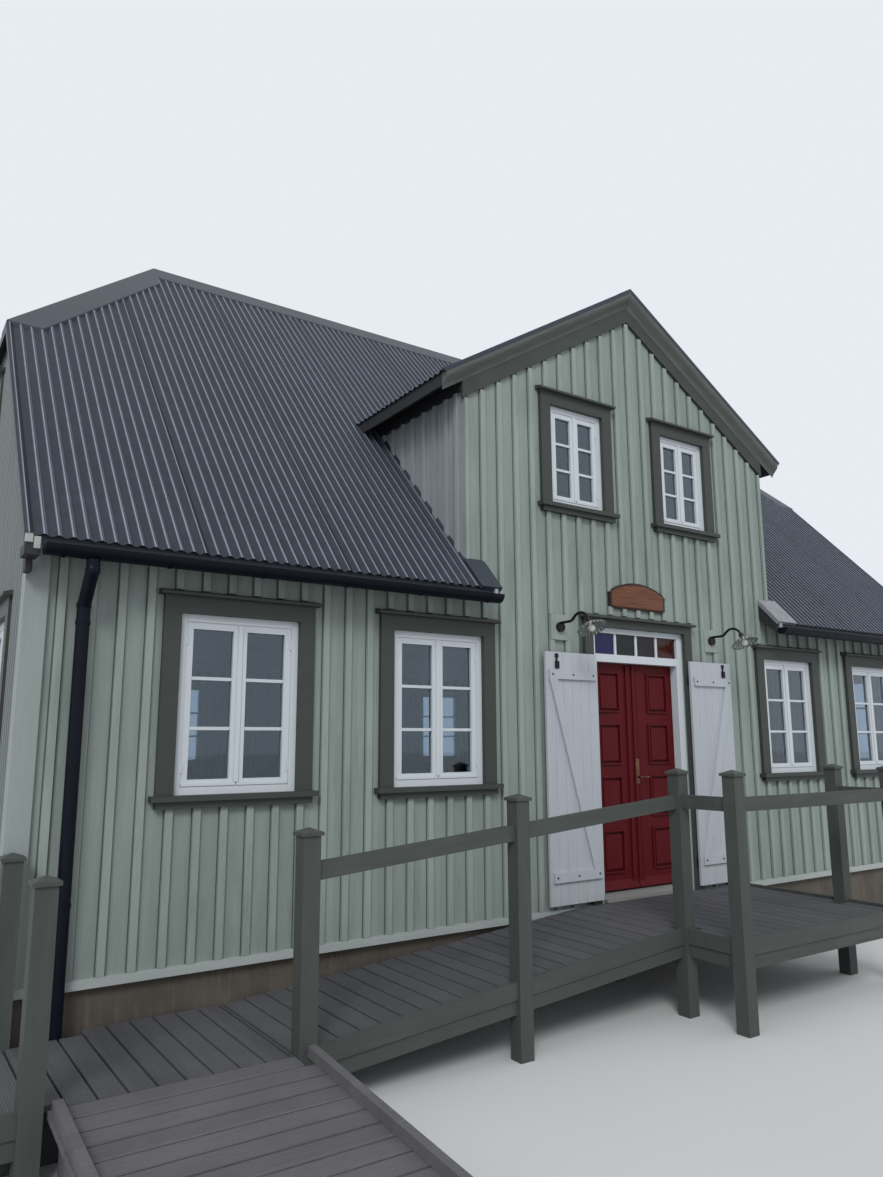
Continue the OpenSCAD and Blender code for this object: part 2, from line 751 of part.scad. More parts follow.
// The frame is rebated: in front of the doors it covers their edges
module door_frame() color("white") at_front() {
    back = leaf_recess + leaf_t;
    both_sides() {
        box(panes_in, door_frame_half, frame_y, back, 0, door_frame_h);
        box(panes_in - stop_w, panes_in, frame_y, stop_back, leaf_sill_h, leaf_top_h);
    }
    box(-panes_in, panes_in, frame_y, back, leaf_top_h + leaf_gap, leaf_top_h + leaf_gap + transom_h);
    box(-panes_in, panes_in, frame_y, stop_back, leaf_top_h - stop_w, leaf_top_h + leaf_gap);
    box(-panes_in, panes_in, frame_y, back, door_frame_h - transom_h, door_frame_h);
    // The bars between the four panes
    for (i = [-1, 0, 1])
        box(i * pane_w - bar_half, i * pane_w + bar_half, pane_y - 12, pane_y + 18, pane_foot, pane_head);
}

module transom_glass() color("teal") at_front() for (i = [0:3])
    box(-panes_in + i * pane_w + (i == 0 ? 0 : bar_half), -panes_in + (i + 1) * pane_w - (i == 3 ? 0 : bar_half),
        pane_y, pane_y + glass_t, pane_foot, pane_head);

// The closed shutters pass in front of the sill and over its front edge
sill_front_h = 72;        // height of the sill's front edge
module door_sill() color("dimgray") at_front() {
    box(-panes_in, panes_in, 0, wall_t, 0, deck_rise);
    box(-panes_in, panes_in, -casing_t, wall_t, deck_rise, sill_front_h);
    box(-panes_in, panes_in, frame_y, wall_t, sill_front_h, leaf_sill_h - leaf_gap);
}

// Door leaves: a frame of stiles and rails with four raised panels one over another

leaf_w = panes_in - 1.5 * leaf_gap;         // a door's mean width
leaf_h = leaf_top_h - leaf_sill_h;
stile_w = 74;             // breadth of the upright member by the hinges
panel_w = 260;            // breadth of a panel with its groove
rail_top = 90;            // height of the top rail
rail_mid = 92;            // height of the rails between the panels
rail_foot = 135;          // height of the bottom rail
groove_w = 34;            // breadth of the groove round a panel
panel_sink = 14;          // depth of the groove round a panel
panel_count = 4;
panel_h = (leaf_h - rail_top - rail_foot - (panel_count - 1) * rail_mid) / panel_count;

strip_w = 55;             // breadth of one half of the moulding over the meeting of the doors
strip_t = 14;             // how far it stands out
strip_in = 5;             // its distance from the door's edge
strip_end = 30;           // its distance from the door's ends

// One leaf of a width, to the right of the meeting gap
module door_leaf(w) {
    panel_x = w - stile_w - panel_w;
    translate([leaf_gap / 2, leaf_recess, leaf_sill_h]) {
        difference() {
            cube([w, leaf_t, leaf_h]);
            for (i = [0:panel_count - 1]) translate([panel_x, 0, rail_foot + i * (panel_h + rail_mid)])
                difference() {
                    translate([0, -1, 0]) cube([panel_w, panel_sink + 1, panel_h]);
                    translate([groove_w, -2, groove_w])
                        cube([panel_w - 2 * groove_w, panel_sink + 2, panel_h - 2 * groove_w]);
                }
        }
        translate([strip_in, -strip_t, strip_end]) cube([strip_w, strip_t, leaf_h - 2 * strip_end]);
    }
}

module at_meeting() at_front() translate([-meeting_left, 0, 0]) children();
module door_leaf_left() color("firebrick") at_meeting() mirror([1, 0, 0]) door_leaf(leaf_w - meeting_left);
module door_leaf_right() color("firebrick") at_meeting() door_leaf(leaf_w + meeting_left);

// Lift-off hinges: the lower half sits on the frame and the upper half on the door or shutter
barrel_r = 6;             // outside radius of a hinge
barrel_h = 40;            // height of one half
barrel_gap = 0.3;         // gap between the halves
door_axis_x = panes_in - leaf_gap / 2;      // the door's hinge line
door_axis_y = leaf_recess + leaf_t + barrel_r + 1;
door_hinge_z = [leaf_sill_h + 180, leaf_sill_h + leaf_h / 2, leaf_top_h - 180];

module door_hinge_tops() at_front() for (z = door_hinge_z) {
    translate([door_axis_x, door_axis_y, z + barrel_gap]) cylinder(r = barrel_r, h = barrel_h);
    box(door_axis_x - 45, door_axis_x, leaf_recess + leaf_t, leaf_recess + leaf_t + 3,
        z + barrel_gap, z + barrel_h);
}

module door_hinge_seats() at_front() for (z = door_hinge_z) {
    translate([door_axis_x, door_axis_y, z - barrel_h]) cylinder(r = barrel_r, h = barrel_h);
    box(door_axis_x, door_axis_x + 45, leaf_recess + leaf_t, leaf_recess + leaf_t + 3, z - barrel_h, z);
}

module door_left_hinges() color("black") mirror([1, 0, 0]) door_hinge_tops();
module door_right_hinges() color("black") door_hinge_tops();

// Long plate with a lever, on both faces of the right leaf: outside it sits on the moulding
handle_x = 36;            // the plate's distance from the meeting of the doors
handle_h = 1025;          // the lever's height over the plinth
plate_t = 5;              // thickness of the plate
plate_w = 40;             // its breadth
plate_low = 55;           // how far it reaches under the lever
plate_high = 155;         // how far it reaches over the lever
lever_out = 46;           // how far the lever stands out
lever_r = 8;              // half its thickness
lever_len = 105;          // its length
module door_handle() color("gold") at_meeting() for (face = [0, 1]) {
    translate([handle_x, face == 0 ? leaf_recess - strip_t : leaf_recess + leaf_t, handle_h]) mirror([0, face, 0]) {
        translate([-plate_w / 2, -plate_t, -plate_low]) cube([plate_w, plate_t, plate_low + plate_high]);
        rotate([90, 0, 0]) cylinder(r = lever_r + 1, h = lever_out);
        translate([0, lever_r + 1 - lever_out, 0]) rotate([0, 90, 0]) cylinder(r = lever_r, h = lever_len);
    }
}

// Shutters, drawn open against the wall, the right one first

shutter_foot = plinth_h + leaf_sill_h - shutter_under;
shutter_len = leaf_h + shutter_under + shutter_over;
meeting_gap = 3;          // half the gap between the closed shutters
edge_gap = 12;            // distance of a shutter's edge from its hinge line
hinge_x = meeting_gap + shutter_w + edge_gap;   // the hinge line's distance from the doorway's middle
shutter_face = front_y - shutter_out;       // the hinge line's depth
ledge_low = 175;          // height of the lower ledge over the shutter's foot
ledge_high = 145;         // distance of the upper ledge from the shutter's head
brace_w = 80;             // width of the brace, measured level
ledge_in = 32;            // distance of a ledge's end from the shutter's hinge edge

module shutter_boards()
    box(hinge_x + edge_gap, hinge_x + edge_gap + shutter_w, shutter_face - shutter_t, shutter_face,
        shutter_foot, shutter_foot + shutter_len);

// Two level ledges and a brace from the lower one by the hinges to the upper outer one
module shutter_ledges() {
    x0 = hinge_x + edge_gap + ledge_in;
    x1 = hinge_x + edge_gap + shutter_w - 25;
    y0 = shutter_face - shutter_t - ledge_t;
    y1 = shutter_face - shutter_t;
    low = shutter_foot + ledge_low;
    high = shutter_foot + shutter_len - ledge_high - ledge_w;
    through(y0, y1, [
        [x0, low], [x1, low], [x1, low + ledge_w], [x0 + brace_w, low + ledge_w],
        [x1, high], [x1, high + ledge_w], [x0, high + ledge_w], [x0, high],
        [x1 - brace_w, high], [x0, low + ledge_w]
    ]);
}

module shutter_left_boards() color("white") mirror([1, 0, 0]) shutter_boards();
module shutter_left_ledges() color("white") mirror([1, 0, 0]) shutter_ledges();
module shutter_right_boards() color("white") shutter_boards();
module shutter_right_ledges() color("white") shutter_ledges();

// Straps on the back of the shutters, next to the wall when these are open
strap_t = 4;
strap_len = 180;
shutter_hinge_z = [shutter_foot + 200, shutter_foot + shutter_len - 170];
module shutter_hinge_tops() for (z = shutter_hinge_z) {
    translate([hinge_x, shutter_face, z + barrel_gap]) cylinder(r = barrel_r, h = barrel_h);
    box(hinge_x, hinge_x + strap_len, shutter_face, shutter_face + strap_t, z + barrel_gap, z + barrel_h);
}

// Plates on the door's boards, with the lower halves of the hinges
module shutter_hinge_seats() for (z = shutter_hinge_z) {
    translate([hinge_x, shutter_face, z - barrel_h]) cylinder(r = barrel_r, h = barrel_h);
    box(hinge_x - 1, hinge_x + barrel_r, shutter_face, front_y - casing_t, z - barrel_h, z);
    box(hinge_x, hinge_x + 60, front_y - casing_t - 3, front_y - casing_t, z - barrel_h, z);
}

module shutter_left_hinges() color("black") mirror([1, 0, 0]) shutter_hinge_tops();
module shutter_right_hinges() color("black") shutter_hinge_tops();

module hinge_seats() color("black") both_sides() {
    door_hinge_seats();
    shutter_hinge_seats();
}

// Lamps on the wall beside the door

lamp_x = 945;             // distance of a lamp from the middle of the doorway
lamp_drop = 39;           // distance of its foot below the door frame's top
lamp_z = door_top - lamp_drop;
lamp_out = 276;           // distance of the arm's crest from the wall
lamp_board_t = 30;        // thickness of the board under a lamp
lamp_board_w = 180;       // its width
lamp_board_h = 210;       // its height
arm_r = 11;               // outside radius of the arm's tube
arm_collar = 2;           // how far the arm's collars stand out
lamp_foot_h = 24;         // thickness of its round foot
rise_r = 70;              // radius of the arm's lower bend
crook_r = 100;            // radius of its upper bend
arm_tilt = 48;            // the arm's slope between the bends, in degrees
arm_rise = 90;            // height of the arm's crest over its foot
shade_tilt = 25;          // how far the lamp's head leans out, in degrees
socket_r = 22;            // radius of the bulb's socket
socket_h = 45;            // height of the bulb's socket
shade_r = 120;            // radius of the shade's rim

module lamp_places() for (x = [-lamp_x, lamp_x]) translate([x, front_y, lamp_z]) children();

module lamp_boards() color("darkseagreen")
    lamp_places() translate([0, -lamp_board_t / 2, 0])
        cube([lamp_board_w, lamp_board_t, lamp_board_h], center = true);

// One bend of the arm, about a centre that stands out and up from the foot
module arm_bend(out, up, r, start, sweep)
    translate([0, -out, up]) rotate([0, 0, 180]) rotate([0, -90, 0]) rotate([0, 0, start])
        rotate_extrude(angle = sweep) translate([r, 0]) circle(arm_r);

crook_up = arm_rise - crook_r;              // height of the upper bend's centre
rise_up = crook_up + (rise_r + crook_r) * cos(arm_tilt);
rise_out = lamp_out - (rise_r + crook_r) * sin(arm_tilt);

// Puts its children where the arm ends, leaning as its end does
module lamp_head() lamp_places()
    translate([0, -lamp_out - crook_r * cos(shade_tilt), crook_up + crook_r * sin(shade_tilt)])
        rotate([-shade_tilt, 0, 0]) translate([0, 0, -socket_h]) children();

// A round foot and a tube that runs out, rises, and turns down to the shade
module lamp_arms() color("black") {
    foot = lamp_board_t + lamp_foot_h;
    start = rise_up - rise_r;
    lamp_places() {
        translate([0, -lamp_board_t, 0]) rotate([90, 0, 0]) cylinder(r = 40, h = lamp_foot_h);
        translate([0, -foot + arm_r, start]) rotate([90, 0, 0]) cylinder(r = arm_r, h = rise_out - foot + arm_r);
        translate([0, -rise_out, start]) sphere(arm_r + arm_collar);
        arm_bend(rise_out, rise_up, rise_r, 180 - arm_tilt, arm_tilt);
        translate([0, -rise_out - rise_r * sin(arm_tilt), rise_up - rise_r * cos(arm_tilt)])
            sphere(arm_r + arm_collar);
        arm_bend(lamp_out, crook_up, crook_r, -arm_tilt, arm_tilt + 90 - shade_tilt);
    }
    lamp_head() cylinder(r = socket_r, h = socket_h);
}

// An open cone of glass round each socket, thicker at its rim
shade_neck = socket_r + 0.3;
module lamp_shades() color("whitesmoke", 0.4) lamp_head() rotate_extrude() polygon([
    [shade_neck, 14], [shade_neck, 10], [shade_r - 5, -44], [shade_r - 5, -54],
    [shade_r, -54], [shade_r, -42], [shade_neck + 6, 14]
]);

module lamp_bulbs() color("whitesmoke") lamp_head() {
    translate([0, 0, -30]) cylinder(r = 14, h = 30);
    translate([0, 0, -45]) sphere(28);
}

// A bare name board with an arched head
sign_rise = 175;          // height of its foot over the door frame's top
sign_w = 680;             // its width
sign_side_h = 140;        // height of its straight sides
sign_arch_w = 400;        // width of its arch
sign_h = 242;             // its height to the top of the arch
sign_t = 30;              // its thickness
sign_off = -10;           // how far it hangs off the middle
sign_corner = 15;         // size of its blunted corners
module sign_board() color("sienna") translate([sign_off, front_y, door_top + sign_rise]) {
    half = sign_w / 2;
    arch = sign_arch_w / 2;
    right = [
        [half - sign_corner, 0], [half, sign_corner], [half, sign_side_h],
        [half - sign_corner, sign_side_h + sign_corner], [arch, sign_side_h + 2 * sign_corner],
        [0.65 * arch, sign_h - 1.5 * sign_corner], [0, sign_h]
    ];
    left = [for (i = [len(right) - 2:-1:0]) [-right[i].x, right[i].y]];
    through(-sign_t, 0, concat(right, left));
}

// Deck: boarding on joists, with edge boards, posts and rails

joist_w = 45;             // thickness of a joist
joist_h = 145;            // depth of a joist
deck_back = front_y - base_t - 5;           // the boarding stops in front of the base board
walk_edge = front_y - walk_d;
platform_edge = front_y - platform_d;
joist_back = front_y - 195;                 // the joists along the house
joist_front = walk_edge + 200;
landing_left = walk_left - landing_w;
ramp_right = walk_left + post_w;
ramp_left = ramp_right - ramp_w;

// Posts stand in notches of the boarding and a little in front of the edge boards
post_proud = 20;
post_out = edge_t + post_proud;
post_y = walk_edge - post_out + post_w / 2;
outer_post_y = platform_edge - post_out + post_w / 2;
post_cap_past = 12;       // how far a post's cap runs past its sides
house_post_y = deck_back - post_w / 2 - post_cap_past;
post_left_x = -platform_left - post_out + post_w / 2;
post_right_x = platform_right + post_out - post_w / 2;
gate_post_x = ramp_left - post_w / 2 - post_proud;
walk_post_x = [walk_left + post_w / 2, (walk_left + post_left_x) / 2, post_left_x];
low_post_h = 920;         // height over the landing of the two posts without a rail

// Each post's place and the height of its top
posts = [
    for (x = walk_post_x) [x, post_y, walk_z(x) + post_h],
    [post_left_x, outer_post_y, deck_z + post_h],
    [post_right_x, outer_post_y, deck_z + post_h],
    [post_right_x, post_y, deck_z + post_h],
    [gate_post_x, post_y, landing_z + low_post_h],
    [gate_post_x, house_post_y, landing_z + low_post_h]
];

module post_shafts() for (p = posts)
    translate([p.x - post_w / 2, p.y - post_w / 2, 0]) cube([post_w, post_w, p.z]);

// Boarding with joists under it, in front of the door
module deck_platform() color("dimgray") {
    under = deck_z - deck_t;
    difference() {
        box(-platform_left, platform_right, platform_edge, deck_back, under, deck_z);
        post_shafts();
    }
    for (y = [platform_edge + 155, (platform_edge + joist_back) / 2, joist_back])
        box(-platform_left, platform_right, y, y + joist_w, under - joist_h, under);
    for (x = [-platform_left + 200, platform_right - 300])
        box(x, x + post_w, joist_back, joist_back + joist_w, 0, under - joist_h);
}

// The sloping walk between the landing and the platform
module walk_layer(y0, y1, head, foot) through(y0, y1, [
    [walk_left, landing_z - head], [-platform_left, deck_z - head],
    [-platform_left, deck_z - foot], [walk_left, landing_z - foot]
]);

module sloping_walk() color("dimgray") {
    difference() {
        walk_layer(walk_edge, deck_back, 0, deck_t);
        post_shafts();
    }
    for (y = [joist_back, joist_front]) walk_layer(y, y + joist_w, deck_t, deck_t + joist_h);
}

pipe_room = 12;           // gap round the downpipe where it passes the landing
module landing() color("dimgray") {
    pipe_half = pipe_r + pipe_room;
    difference() {
        box(landing_left, walk_left, walk_edge, deck_back, landing_z - deck_t, landing_z);
        box(-pipe_x - pipe_half, -pipe_x + pipe_half, -pipe_y - pipe_half, front_y, 0, far);
        post_shafts();
    }
    for (y = [joist_back, joist_front])
        box(landing_left, walk_left, y, y + joist_w, 0, landing_z - deck_t);
}

// The lower ramp: boards across, on stringers down to the ground, with a kerb on each side
ramp_lip = 20;            // thickness of the ramp's foot
ramp_toe = 80;            // length of the foot that lies on the ground
kerb_up = 55;             // how far the kerbs stand over the boards
kerb_in = 10;             // distance of a kerb from the ramp's side
module lower_ramp() color("dimgray") {
    top_y = walk_edge - joint;
    foot_y = top_y - ramp_run;
    difference() {
        along(ramp_left, ramp_right, [
            [top_y, landing_z], [foot_y, ramp_lip], [foot_y, 0], [foot_y + ramp_toe, 0],
            [top_y, landing_z - deck_t]
        ]);
        post_shafts();
    }
    for (x = [ramp_left + 60, (ramp_left + ramp_right - joist_w) / 2, ramp_right - post_w - joist_w - 5])
        along(x, x + joist_w, [[top_y, landing_z - deck_t], [foot_y + ramp_toe, 0], [top_y, 0]]);
    for (x = [ramp_left + kerb_in, ramp_right - kerb_in - joist_w])
        difference() {
            along(x, x + joist_w, [
                [top_y, landing_z], [top_y, landing_z + kerb_up], [foot_y, ramp_lip + kerb_up], [foot_y, ramp_lip]
            ]);
            post_shafts();
        }
}

// A square post with a low pointed cap
cap_side = post_w / 2 + post_cap_past;
cap_rim = 18;             // thickness of the cap's rim
cap_tip = 40;             // height of its tip
tip_half = 5;             // half the breadth of the tip's flat top
module post_cap() {
    outline = [[-cap_side, 0], [cap_side, 0], [cap_side, cap_rim], [tip_half, cap_tip],
        [-tip_half, cap_tip], [-cap_side, cap_rim]];
    intersection() {
        along(-cap_side, cap_side, outline);
        through(-cap_side, cap_side, outline);
    }
}

module deck_posts() color("darkolivegreen") {
    post_shafts();
    for (p = posts) translate(p) post_cap();
}

// A rail between two posts of one row, following the walk
module rail_x(xa, xb, y, za, zb) through(y - rail_t / 2, y + rail_t / 2, [
    [xa, za], [xb, zb], [xb, zb - rail_w], [xa, za - rail_w]
]);

module deck_rails() color("darkolivegreen") {
    half = post_w / 2;
    top = deck_z + rail_h;
    for (i = [0, 1]) {
        xa = walk_post_x[i] + half;
        xb = walk_post_x[i + 1] - half;
        rail_x(xa, xb, post_y, walk_z(xa) + rail_h, walk_z(xb) + rail_h);
    }
    rail_x(post_left_x + half, post_right_x - half, outer_post_y, top, top);
    for (x = [post_left_x, post_right_x])
        box(x - rail_t / 2, x + rail_t / 2, outer_post_y + half, post_y - half, top - rail_w, top);
}

// Two edge boards, one under the other, the lower one thinner
lower_edge_t = 16;        // thickness of the lower board

module edge_x(xa, xb, y, za, zb) for (lower = [0, 1]) {
    head = edge_up - lower * edge_w;
    foot = edge_up - edge_w - lower * lower_edge_w;
    through(y - (lower ? lower_edge_t : edge_t), y, [
        [xa, za + head], [xb, zb + head], [xb, zb + foot], [xa, za + foot]
    ]);
}

module edge_y(x, side, ya, yb, z) for (lower = [0, 1]) {
    out = lower ? lower_edge_t : edge_t;
    box(side < 0 ? x - out : x, side < 0 ? x : x + out, ya, yb,
        z + edge_up - edge_w - lower * lower_edge_w, z + edge_up - lower * edge_w);
}

module deck_edge_boards() color("darkolivegreen") difference() {
    union() {
        edge_x(walk_left + post_w, post_left_x, walk_edge, walk_z(walk_left + post_w), walk_z(post_left_x));
        edge_x(post_left_x, post_right_x, platform_edge, deck_z, deck_z);
        edge_y(-platform_left, -1, outer_post_y, post_y, deck_z);
        edge_y(platform_right, 1, outer_post_y, deck_back, deck_z);
        edge_x(landing_left + joint, gate_post_x, walk_edge, landing_z, landing_z);
        edge_y(landing_left, -1, walk_edge - edge_t, deck_back, landing_z);
    }
    post_shafts();
}

plinth_long_walls();
plinth_end_walls();
ground_floor();
attic_floor();
front_wall_left();
front_wall_right();
front_gable_wall();
back_wall();
left_end_wall();
right_end_wall();
gable_cheeks();
roof_front_left();
roof_front_right();
roof_front_top();
roof_back();
roof_hips();
gable_roof_left();
gable_roof_right();
ridge_and_hip_caps();
gable_ridge_cap();
gable_barge_boards();
verge_flashings();
gutters();
downpipes();
base_boards();
corner_boards();
window_casings();
window_frames();
window_sashes();
window_glass();
door_casing();
door_frame();
transom_glass();
door_sill();
door_leaf_left();
door_leaf_right();
door_left_hinges();
door_right_hinges();
door_handle();
shutter_left_boards();
shutter_left_ledges();
shutter_left_hinges();
shutter_right_boards();
shutter_right_ledges();
shutter_right_hinges();
hinge_seats();
lamp_boards();
lamp_arms();
lamp_shades();
lamp_bulbs();
sign_board();
deck_platform();
sloping_walk();
landing();
lower_ramp();
deck_posts();
deck_rails();
deck_edge_boards();
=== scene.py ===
import math

import bmesh
import bpy
from mathutils import Matrix, Vector


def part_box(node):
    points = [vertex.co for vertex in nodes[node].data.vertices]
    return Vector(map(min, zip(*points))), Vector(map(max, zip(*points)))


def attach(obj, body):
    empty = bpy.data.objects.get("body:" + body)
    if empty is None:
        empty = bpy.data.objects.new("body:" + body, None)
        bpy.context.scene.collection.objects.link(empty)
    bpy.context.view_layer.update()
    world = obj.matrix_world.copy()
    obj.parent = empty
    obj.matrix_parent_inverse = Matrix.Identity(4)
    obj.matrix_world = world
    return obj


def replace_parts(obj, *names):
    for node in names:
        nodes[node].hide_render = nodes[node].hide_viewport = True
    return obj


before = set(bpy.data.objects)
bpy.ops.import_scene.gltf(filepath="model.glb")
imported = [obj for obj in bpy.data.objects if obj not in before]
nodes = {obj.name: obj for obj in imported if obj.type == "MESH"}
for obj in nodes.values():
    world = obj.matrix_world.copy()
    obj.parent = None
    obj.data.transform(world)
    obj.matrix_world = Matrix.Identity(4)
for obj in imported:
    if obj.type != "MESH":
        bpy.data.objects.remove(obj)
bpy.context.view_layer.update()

# Plinth: walls of poured concrete, brown-grey, streaked by the rain that runs down them.
# The timber house stands on them.


def tint(red, green, blue):
    """A colour given as it looks on a screen, for a shader."""
    return tuple(((c / 255 + 0.055) / 1.055) ** 2.4 for c in (red, green, blue)) + (1,)


def finish(name, rough, metal=0.0):
    """A new material with its node tree and its shader."""
    mat = bpy.data.materials.new(name)
    mat.use_nodes = True
    shader = mat.node_tree.nodes["Principled BSDF"]
    shader.inputs["Roughness"].default_value = rough
    shader.inputs["Metallic"].default_value = metal
    shader.inputs["Specular IOR Level"].default_value = 0.25
    return mat, mat.node_tree, shader


def cloud(tree, size, detail=4, stretch=(1, 1, 1), rough=0.55):
    """Soft spots of about the given size in metres, drawn out where stretch is large."""
    place = tree.nodes.new("ShaderNodeTexCoord").outputs["Object"]
    turn = tree.nodes.new("ShaderNodeMapping")
    turn.inputs["Scale"].default_value = [1 / (size * s) for s in stretch]
    tree.links.new(place, turn.inputs["Vector"])
    noise = tree.nodes.new("ShaderNodeTexNoise")
    noise.inputs["Scale"].default_value = 1
    noise.inputs["Detail"].default_value = detail
    noise.inputs["Roughness"].default_value = rough
    tree.links.new(turn.outputs["Vector"], noise.inputs["Vector"])
    return noise.outputs["Fac"]


def sums(tree, kind, *values):
    """A Math node on sockets and plain numbers."""
    made = tree.nodes.new("ShaderNodeMath")
    made.operation = kind
    for socket, value in zip(made.inputs, values):
        if isinstance(value, (int, float)):
            socket.default_value = value
        else:
            tree.links.new(value, socket)
    return made.outputs[0]


def shades(tree, amount, *stops):
    """Colours that follow an amount: each stop is where it stands and its colour."""
    ramp = tree.nodes.new("ShaderNodeValToRGB")
    while len(ramp.color_ramp.elements) < len(stops):
        ramp.color_ramp.elements.new(0.5)
    for element, (at, colour) in zip(ramp.color_ramp.elements, stops):
        element.position = at
        element.color = colour
    tree.links.new(amount, ramp.inputs["Fac"])
    return ramp.outputs["Color"]


def mixed(tree, amount, one, other, way="MIX"):
    """One colour laid over another by an amount."""
    made = tree.nodes.new("ShaderNodeMix")
    made.data_type = "RGBA"
    made.blend_type = way
    for title, value in (("Factor", amount), ("A", one), ("B", other)):
        if isinstance(value, (int, float, tuple)):
            made.inputs[title].default_value = value
        else:
            tree.links.new(value, made.inputs[title])
    return made.outputs["Result"]


def relief(tree, shader, height, depth):
    """Raises the surface by the height, a share of the depth in metres."""
    bump = tree.nodes.new("ShaderNodeBump")
    bump.inputs["Distance"].default_value = depth
    tree.links.new(height, bump.inputs["Height"])
    tree.links.new(bump.outputs["Normal"], shader.inputs["Normal"])


def part_of(tree, axis):
    """One of the three object coordinates, in metres."""
    split = tree.nodes.new("ShaderNodeSeparateXYZ")
    tree.links.new(tree.nodes.new("ShaderNodeTexCoord").outputs["Object"], split.inputs["Vector"])
    return split.outputs[axis]


def cover(mat, *names):
    """Gives a finish to the CAD nodes that keep their shape."""
    for name in names:
        nodes[name].material_slots[0].material = mat


concrete, tree, shader = finish("cast_concrete", 0.9)
spots = shades(tree, cloud(tree, 0.4, 8), (0.3, tint(74, 68, 62)), (0.55, tint(90, 84, 77)),
               (0.8, tint(104, 98, 90)))
streaks = cloud(tree, 0.03, 6, (1, 1, 14), 0.65)
worn = shades(tree, streaks, (0.5, (0, 0, 0, 1)), (0.75, (1, 1, 1, 1)))
colour = mixed(tree, sums(tree, "MULTIPLY", worn, 0.45), spots, tint(118, 112, 103))
tree.links.new(colour, shader.inputs["Base Color"])
relief(tree, shader, cloud(tree, 0.015, 7), 0.003)
cover(concrete, "plinth_long_walls", "plinth_end_walls")

# Floors: planed pine boards laid side by side, on the ground floor and in the attic. They are
# seen only through the windows and the open doors.


def boarded(tree, axis, width, phase=0.0):
    """For boards side by side along an axis: a number for each board, and 1 in the gaps."""
    place = sums(tree, "ADD", sums(tree, "DIVIDE", part_of(tree, axis), width), phase)
    number = tree.nodes.new("ShaderNodeTexWhiteNoise")
    number.noise_dimensions = "1D"
    tree.links.new(sums(tree, "FLOOR", place), number.inputs["W"])
    gap = sums(tree, "LESS_THAN", sums(tree, "FRACT", place), 0.004 / width)
    return number.outputs["Value"], gap


pine, tree, shader = finish("floor_pine", 0.45)
each, gap = boarded(tree, "Y", 0.13)
grain = cloud(tree, 0.012, 5, (30, 1, 1))
wood = shades(tree, sums(tree, "ADD", sums(tree, "MULTIPLY", each, 0.4), sums(tree, "MULTIPLY", grain, 0.6)),
              (0.2, tint(150, 112, 74)), (0.8, tint(198, 160, 114)))
tree.links.new(mixed(tree, gap, wood, tint(60, 40, 25)), shader.inputs["Base Color"])
relief(tree, shader, sums(tree, "SUBTRACT", grain, gap), 0.001)
cover(pine, "ground_floor", "attic_floor")

# Front and back walls: upright boards with a batten over each joint, rough sawn, painted
# pale sage green. Rain has streaked the paint and the grain shows through it.

PITCH = 0.1696          # from one batten to the next
BATTEN = (0.048, 0.024)     # breadth and thickness


def painted(name, colour, rough=0.6, along="Z", fade=0.1, grain=0.0008, board=None, dirt=None, seam_and_shade=0.0):
    """Paint on timber: a little lighter and darker in streaks along the grain.

    A board gives the axis and the breadth of boards side by side. A seam is the breadth of a dark
    band centred on each batten line, painted shade on the boards beside the battens.
    """
    mat, tree, shader = finish(name, rough)
    long = [24 if axis == along else 1 for axis in "XYZ"]
    fibre = cloud(tree, 0.006, 5, long, 0.6)
    streak = cloud(tree, 0.05, 5, [s / 2 + 0.5 for s in long])
    broad = cloud(tree, 0.9, 3)
    amount = sums(tree, "ADD", sums(tree, "MULTIPLY", streak, 0.55), sums(tree, "MULTIPLY", broad, 0.45))
    amount = sums(tree, "ADD", amount, sums(tree, "MULTIPLY", sums(tree, "SUBTRACT", fibre, 0.5), 0.25))
    if board:
        each = boarded(tree, board[0], board[1], 0.5)[0]
        amount = sums(tree, "ADD", amount, sums(tree, "MULTIPLY", sums(tree, "SUBTRACT", each, 0.5), 0.16))
    light = tuple(min(1, c * (1 + fade)) for c in colour[:3]) + (1,)
    dark = tuple(c * (1 - fade) for c in colour[:3]) + (1,)
    paint = shades(tree, amount, (0.3, dark), (0.7, light))
    if dirt:
        worn = shades(tree, cloud(tree, 0.25, 8, [s / 6 + 0.8 for s in long], 0.7),
                      (0.52, (0, 0, 0, 1)), (0.72, (1, 1, 1, 1)))
        paint = mixed(tree, sums(tree, "MULTIPLY", worn, 0.5), paint, dirt)
    # Painted shade: a dark band along each batten line, seen on the boards beside the battens
    if seam_and_shade:
        place = sums(tree, "ADD", sums(tree, "DIVIDE", part_of(tree, board[0]), board[1]), 0.5)
        off = sums(tree, "ABSOLUTE", sums(tree, "SUBTRACT", sums(tree, "FRACT", place), 0.5))
        line = sums(tree, "LESS_THAN", off, seam_and_shade / 2 / board[1])
        paint = mixed(tree, sums(tree, "MULTIPLY", line, 0.72), paint, tint(34, 40, 40))
    tree.links.new(paint, shader.inputs["Base Color"])
    roughness = sums(tree, "ADD", rough - 0.08, sums(tree, "MULTIPLY", fibre, 0.16))
    tree.links.new(roughness, shader.inputs["Roughness"])
    relief(tree, shader, fibre, grain)
    return mat


def block(bm, x0, x1, y0, y1, z0, z1, place=Matrix.Identity(4)):
    """A straight piece of timber or metal between these limits."""
    middle = Matrix.Translation(((x0 + x1) / 2, (y0 + y1) / 2, (z0 + z1) / 2))
    size = Matrix.Diagonal((x1 - x0, y1 - y0, z1 - z0, 1))
    return bmesh.ops.create_cube(bm, size=1, matrix=place @ middle @ size)["verts"]


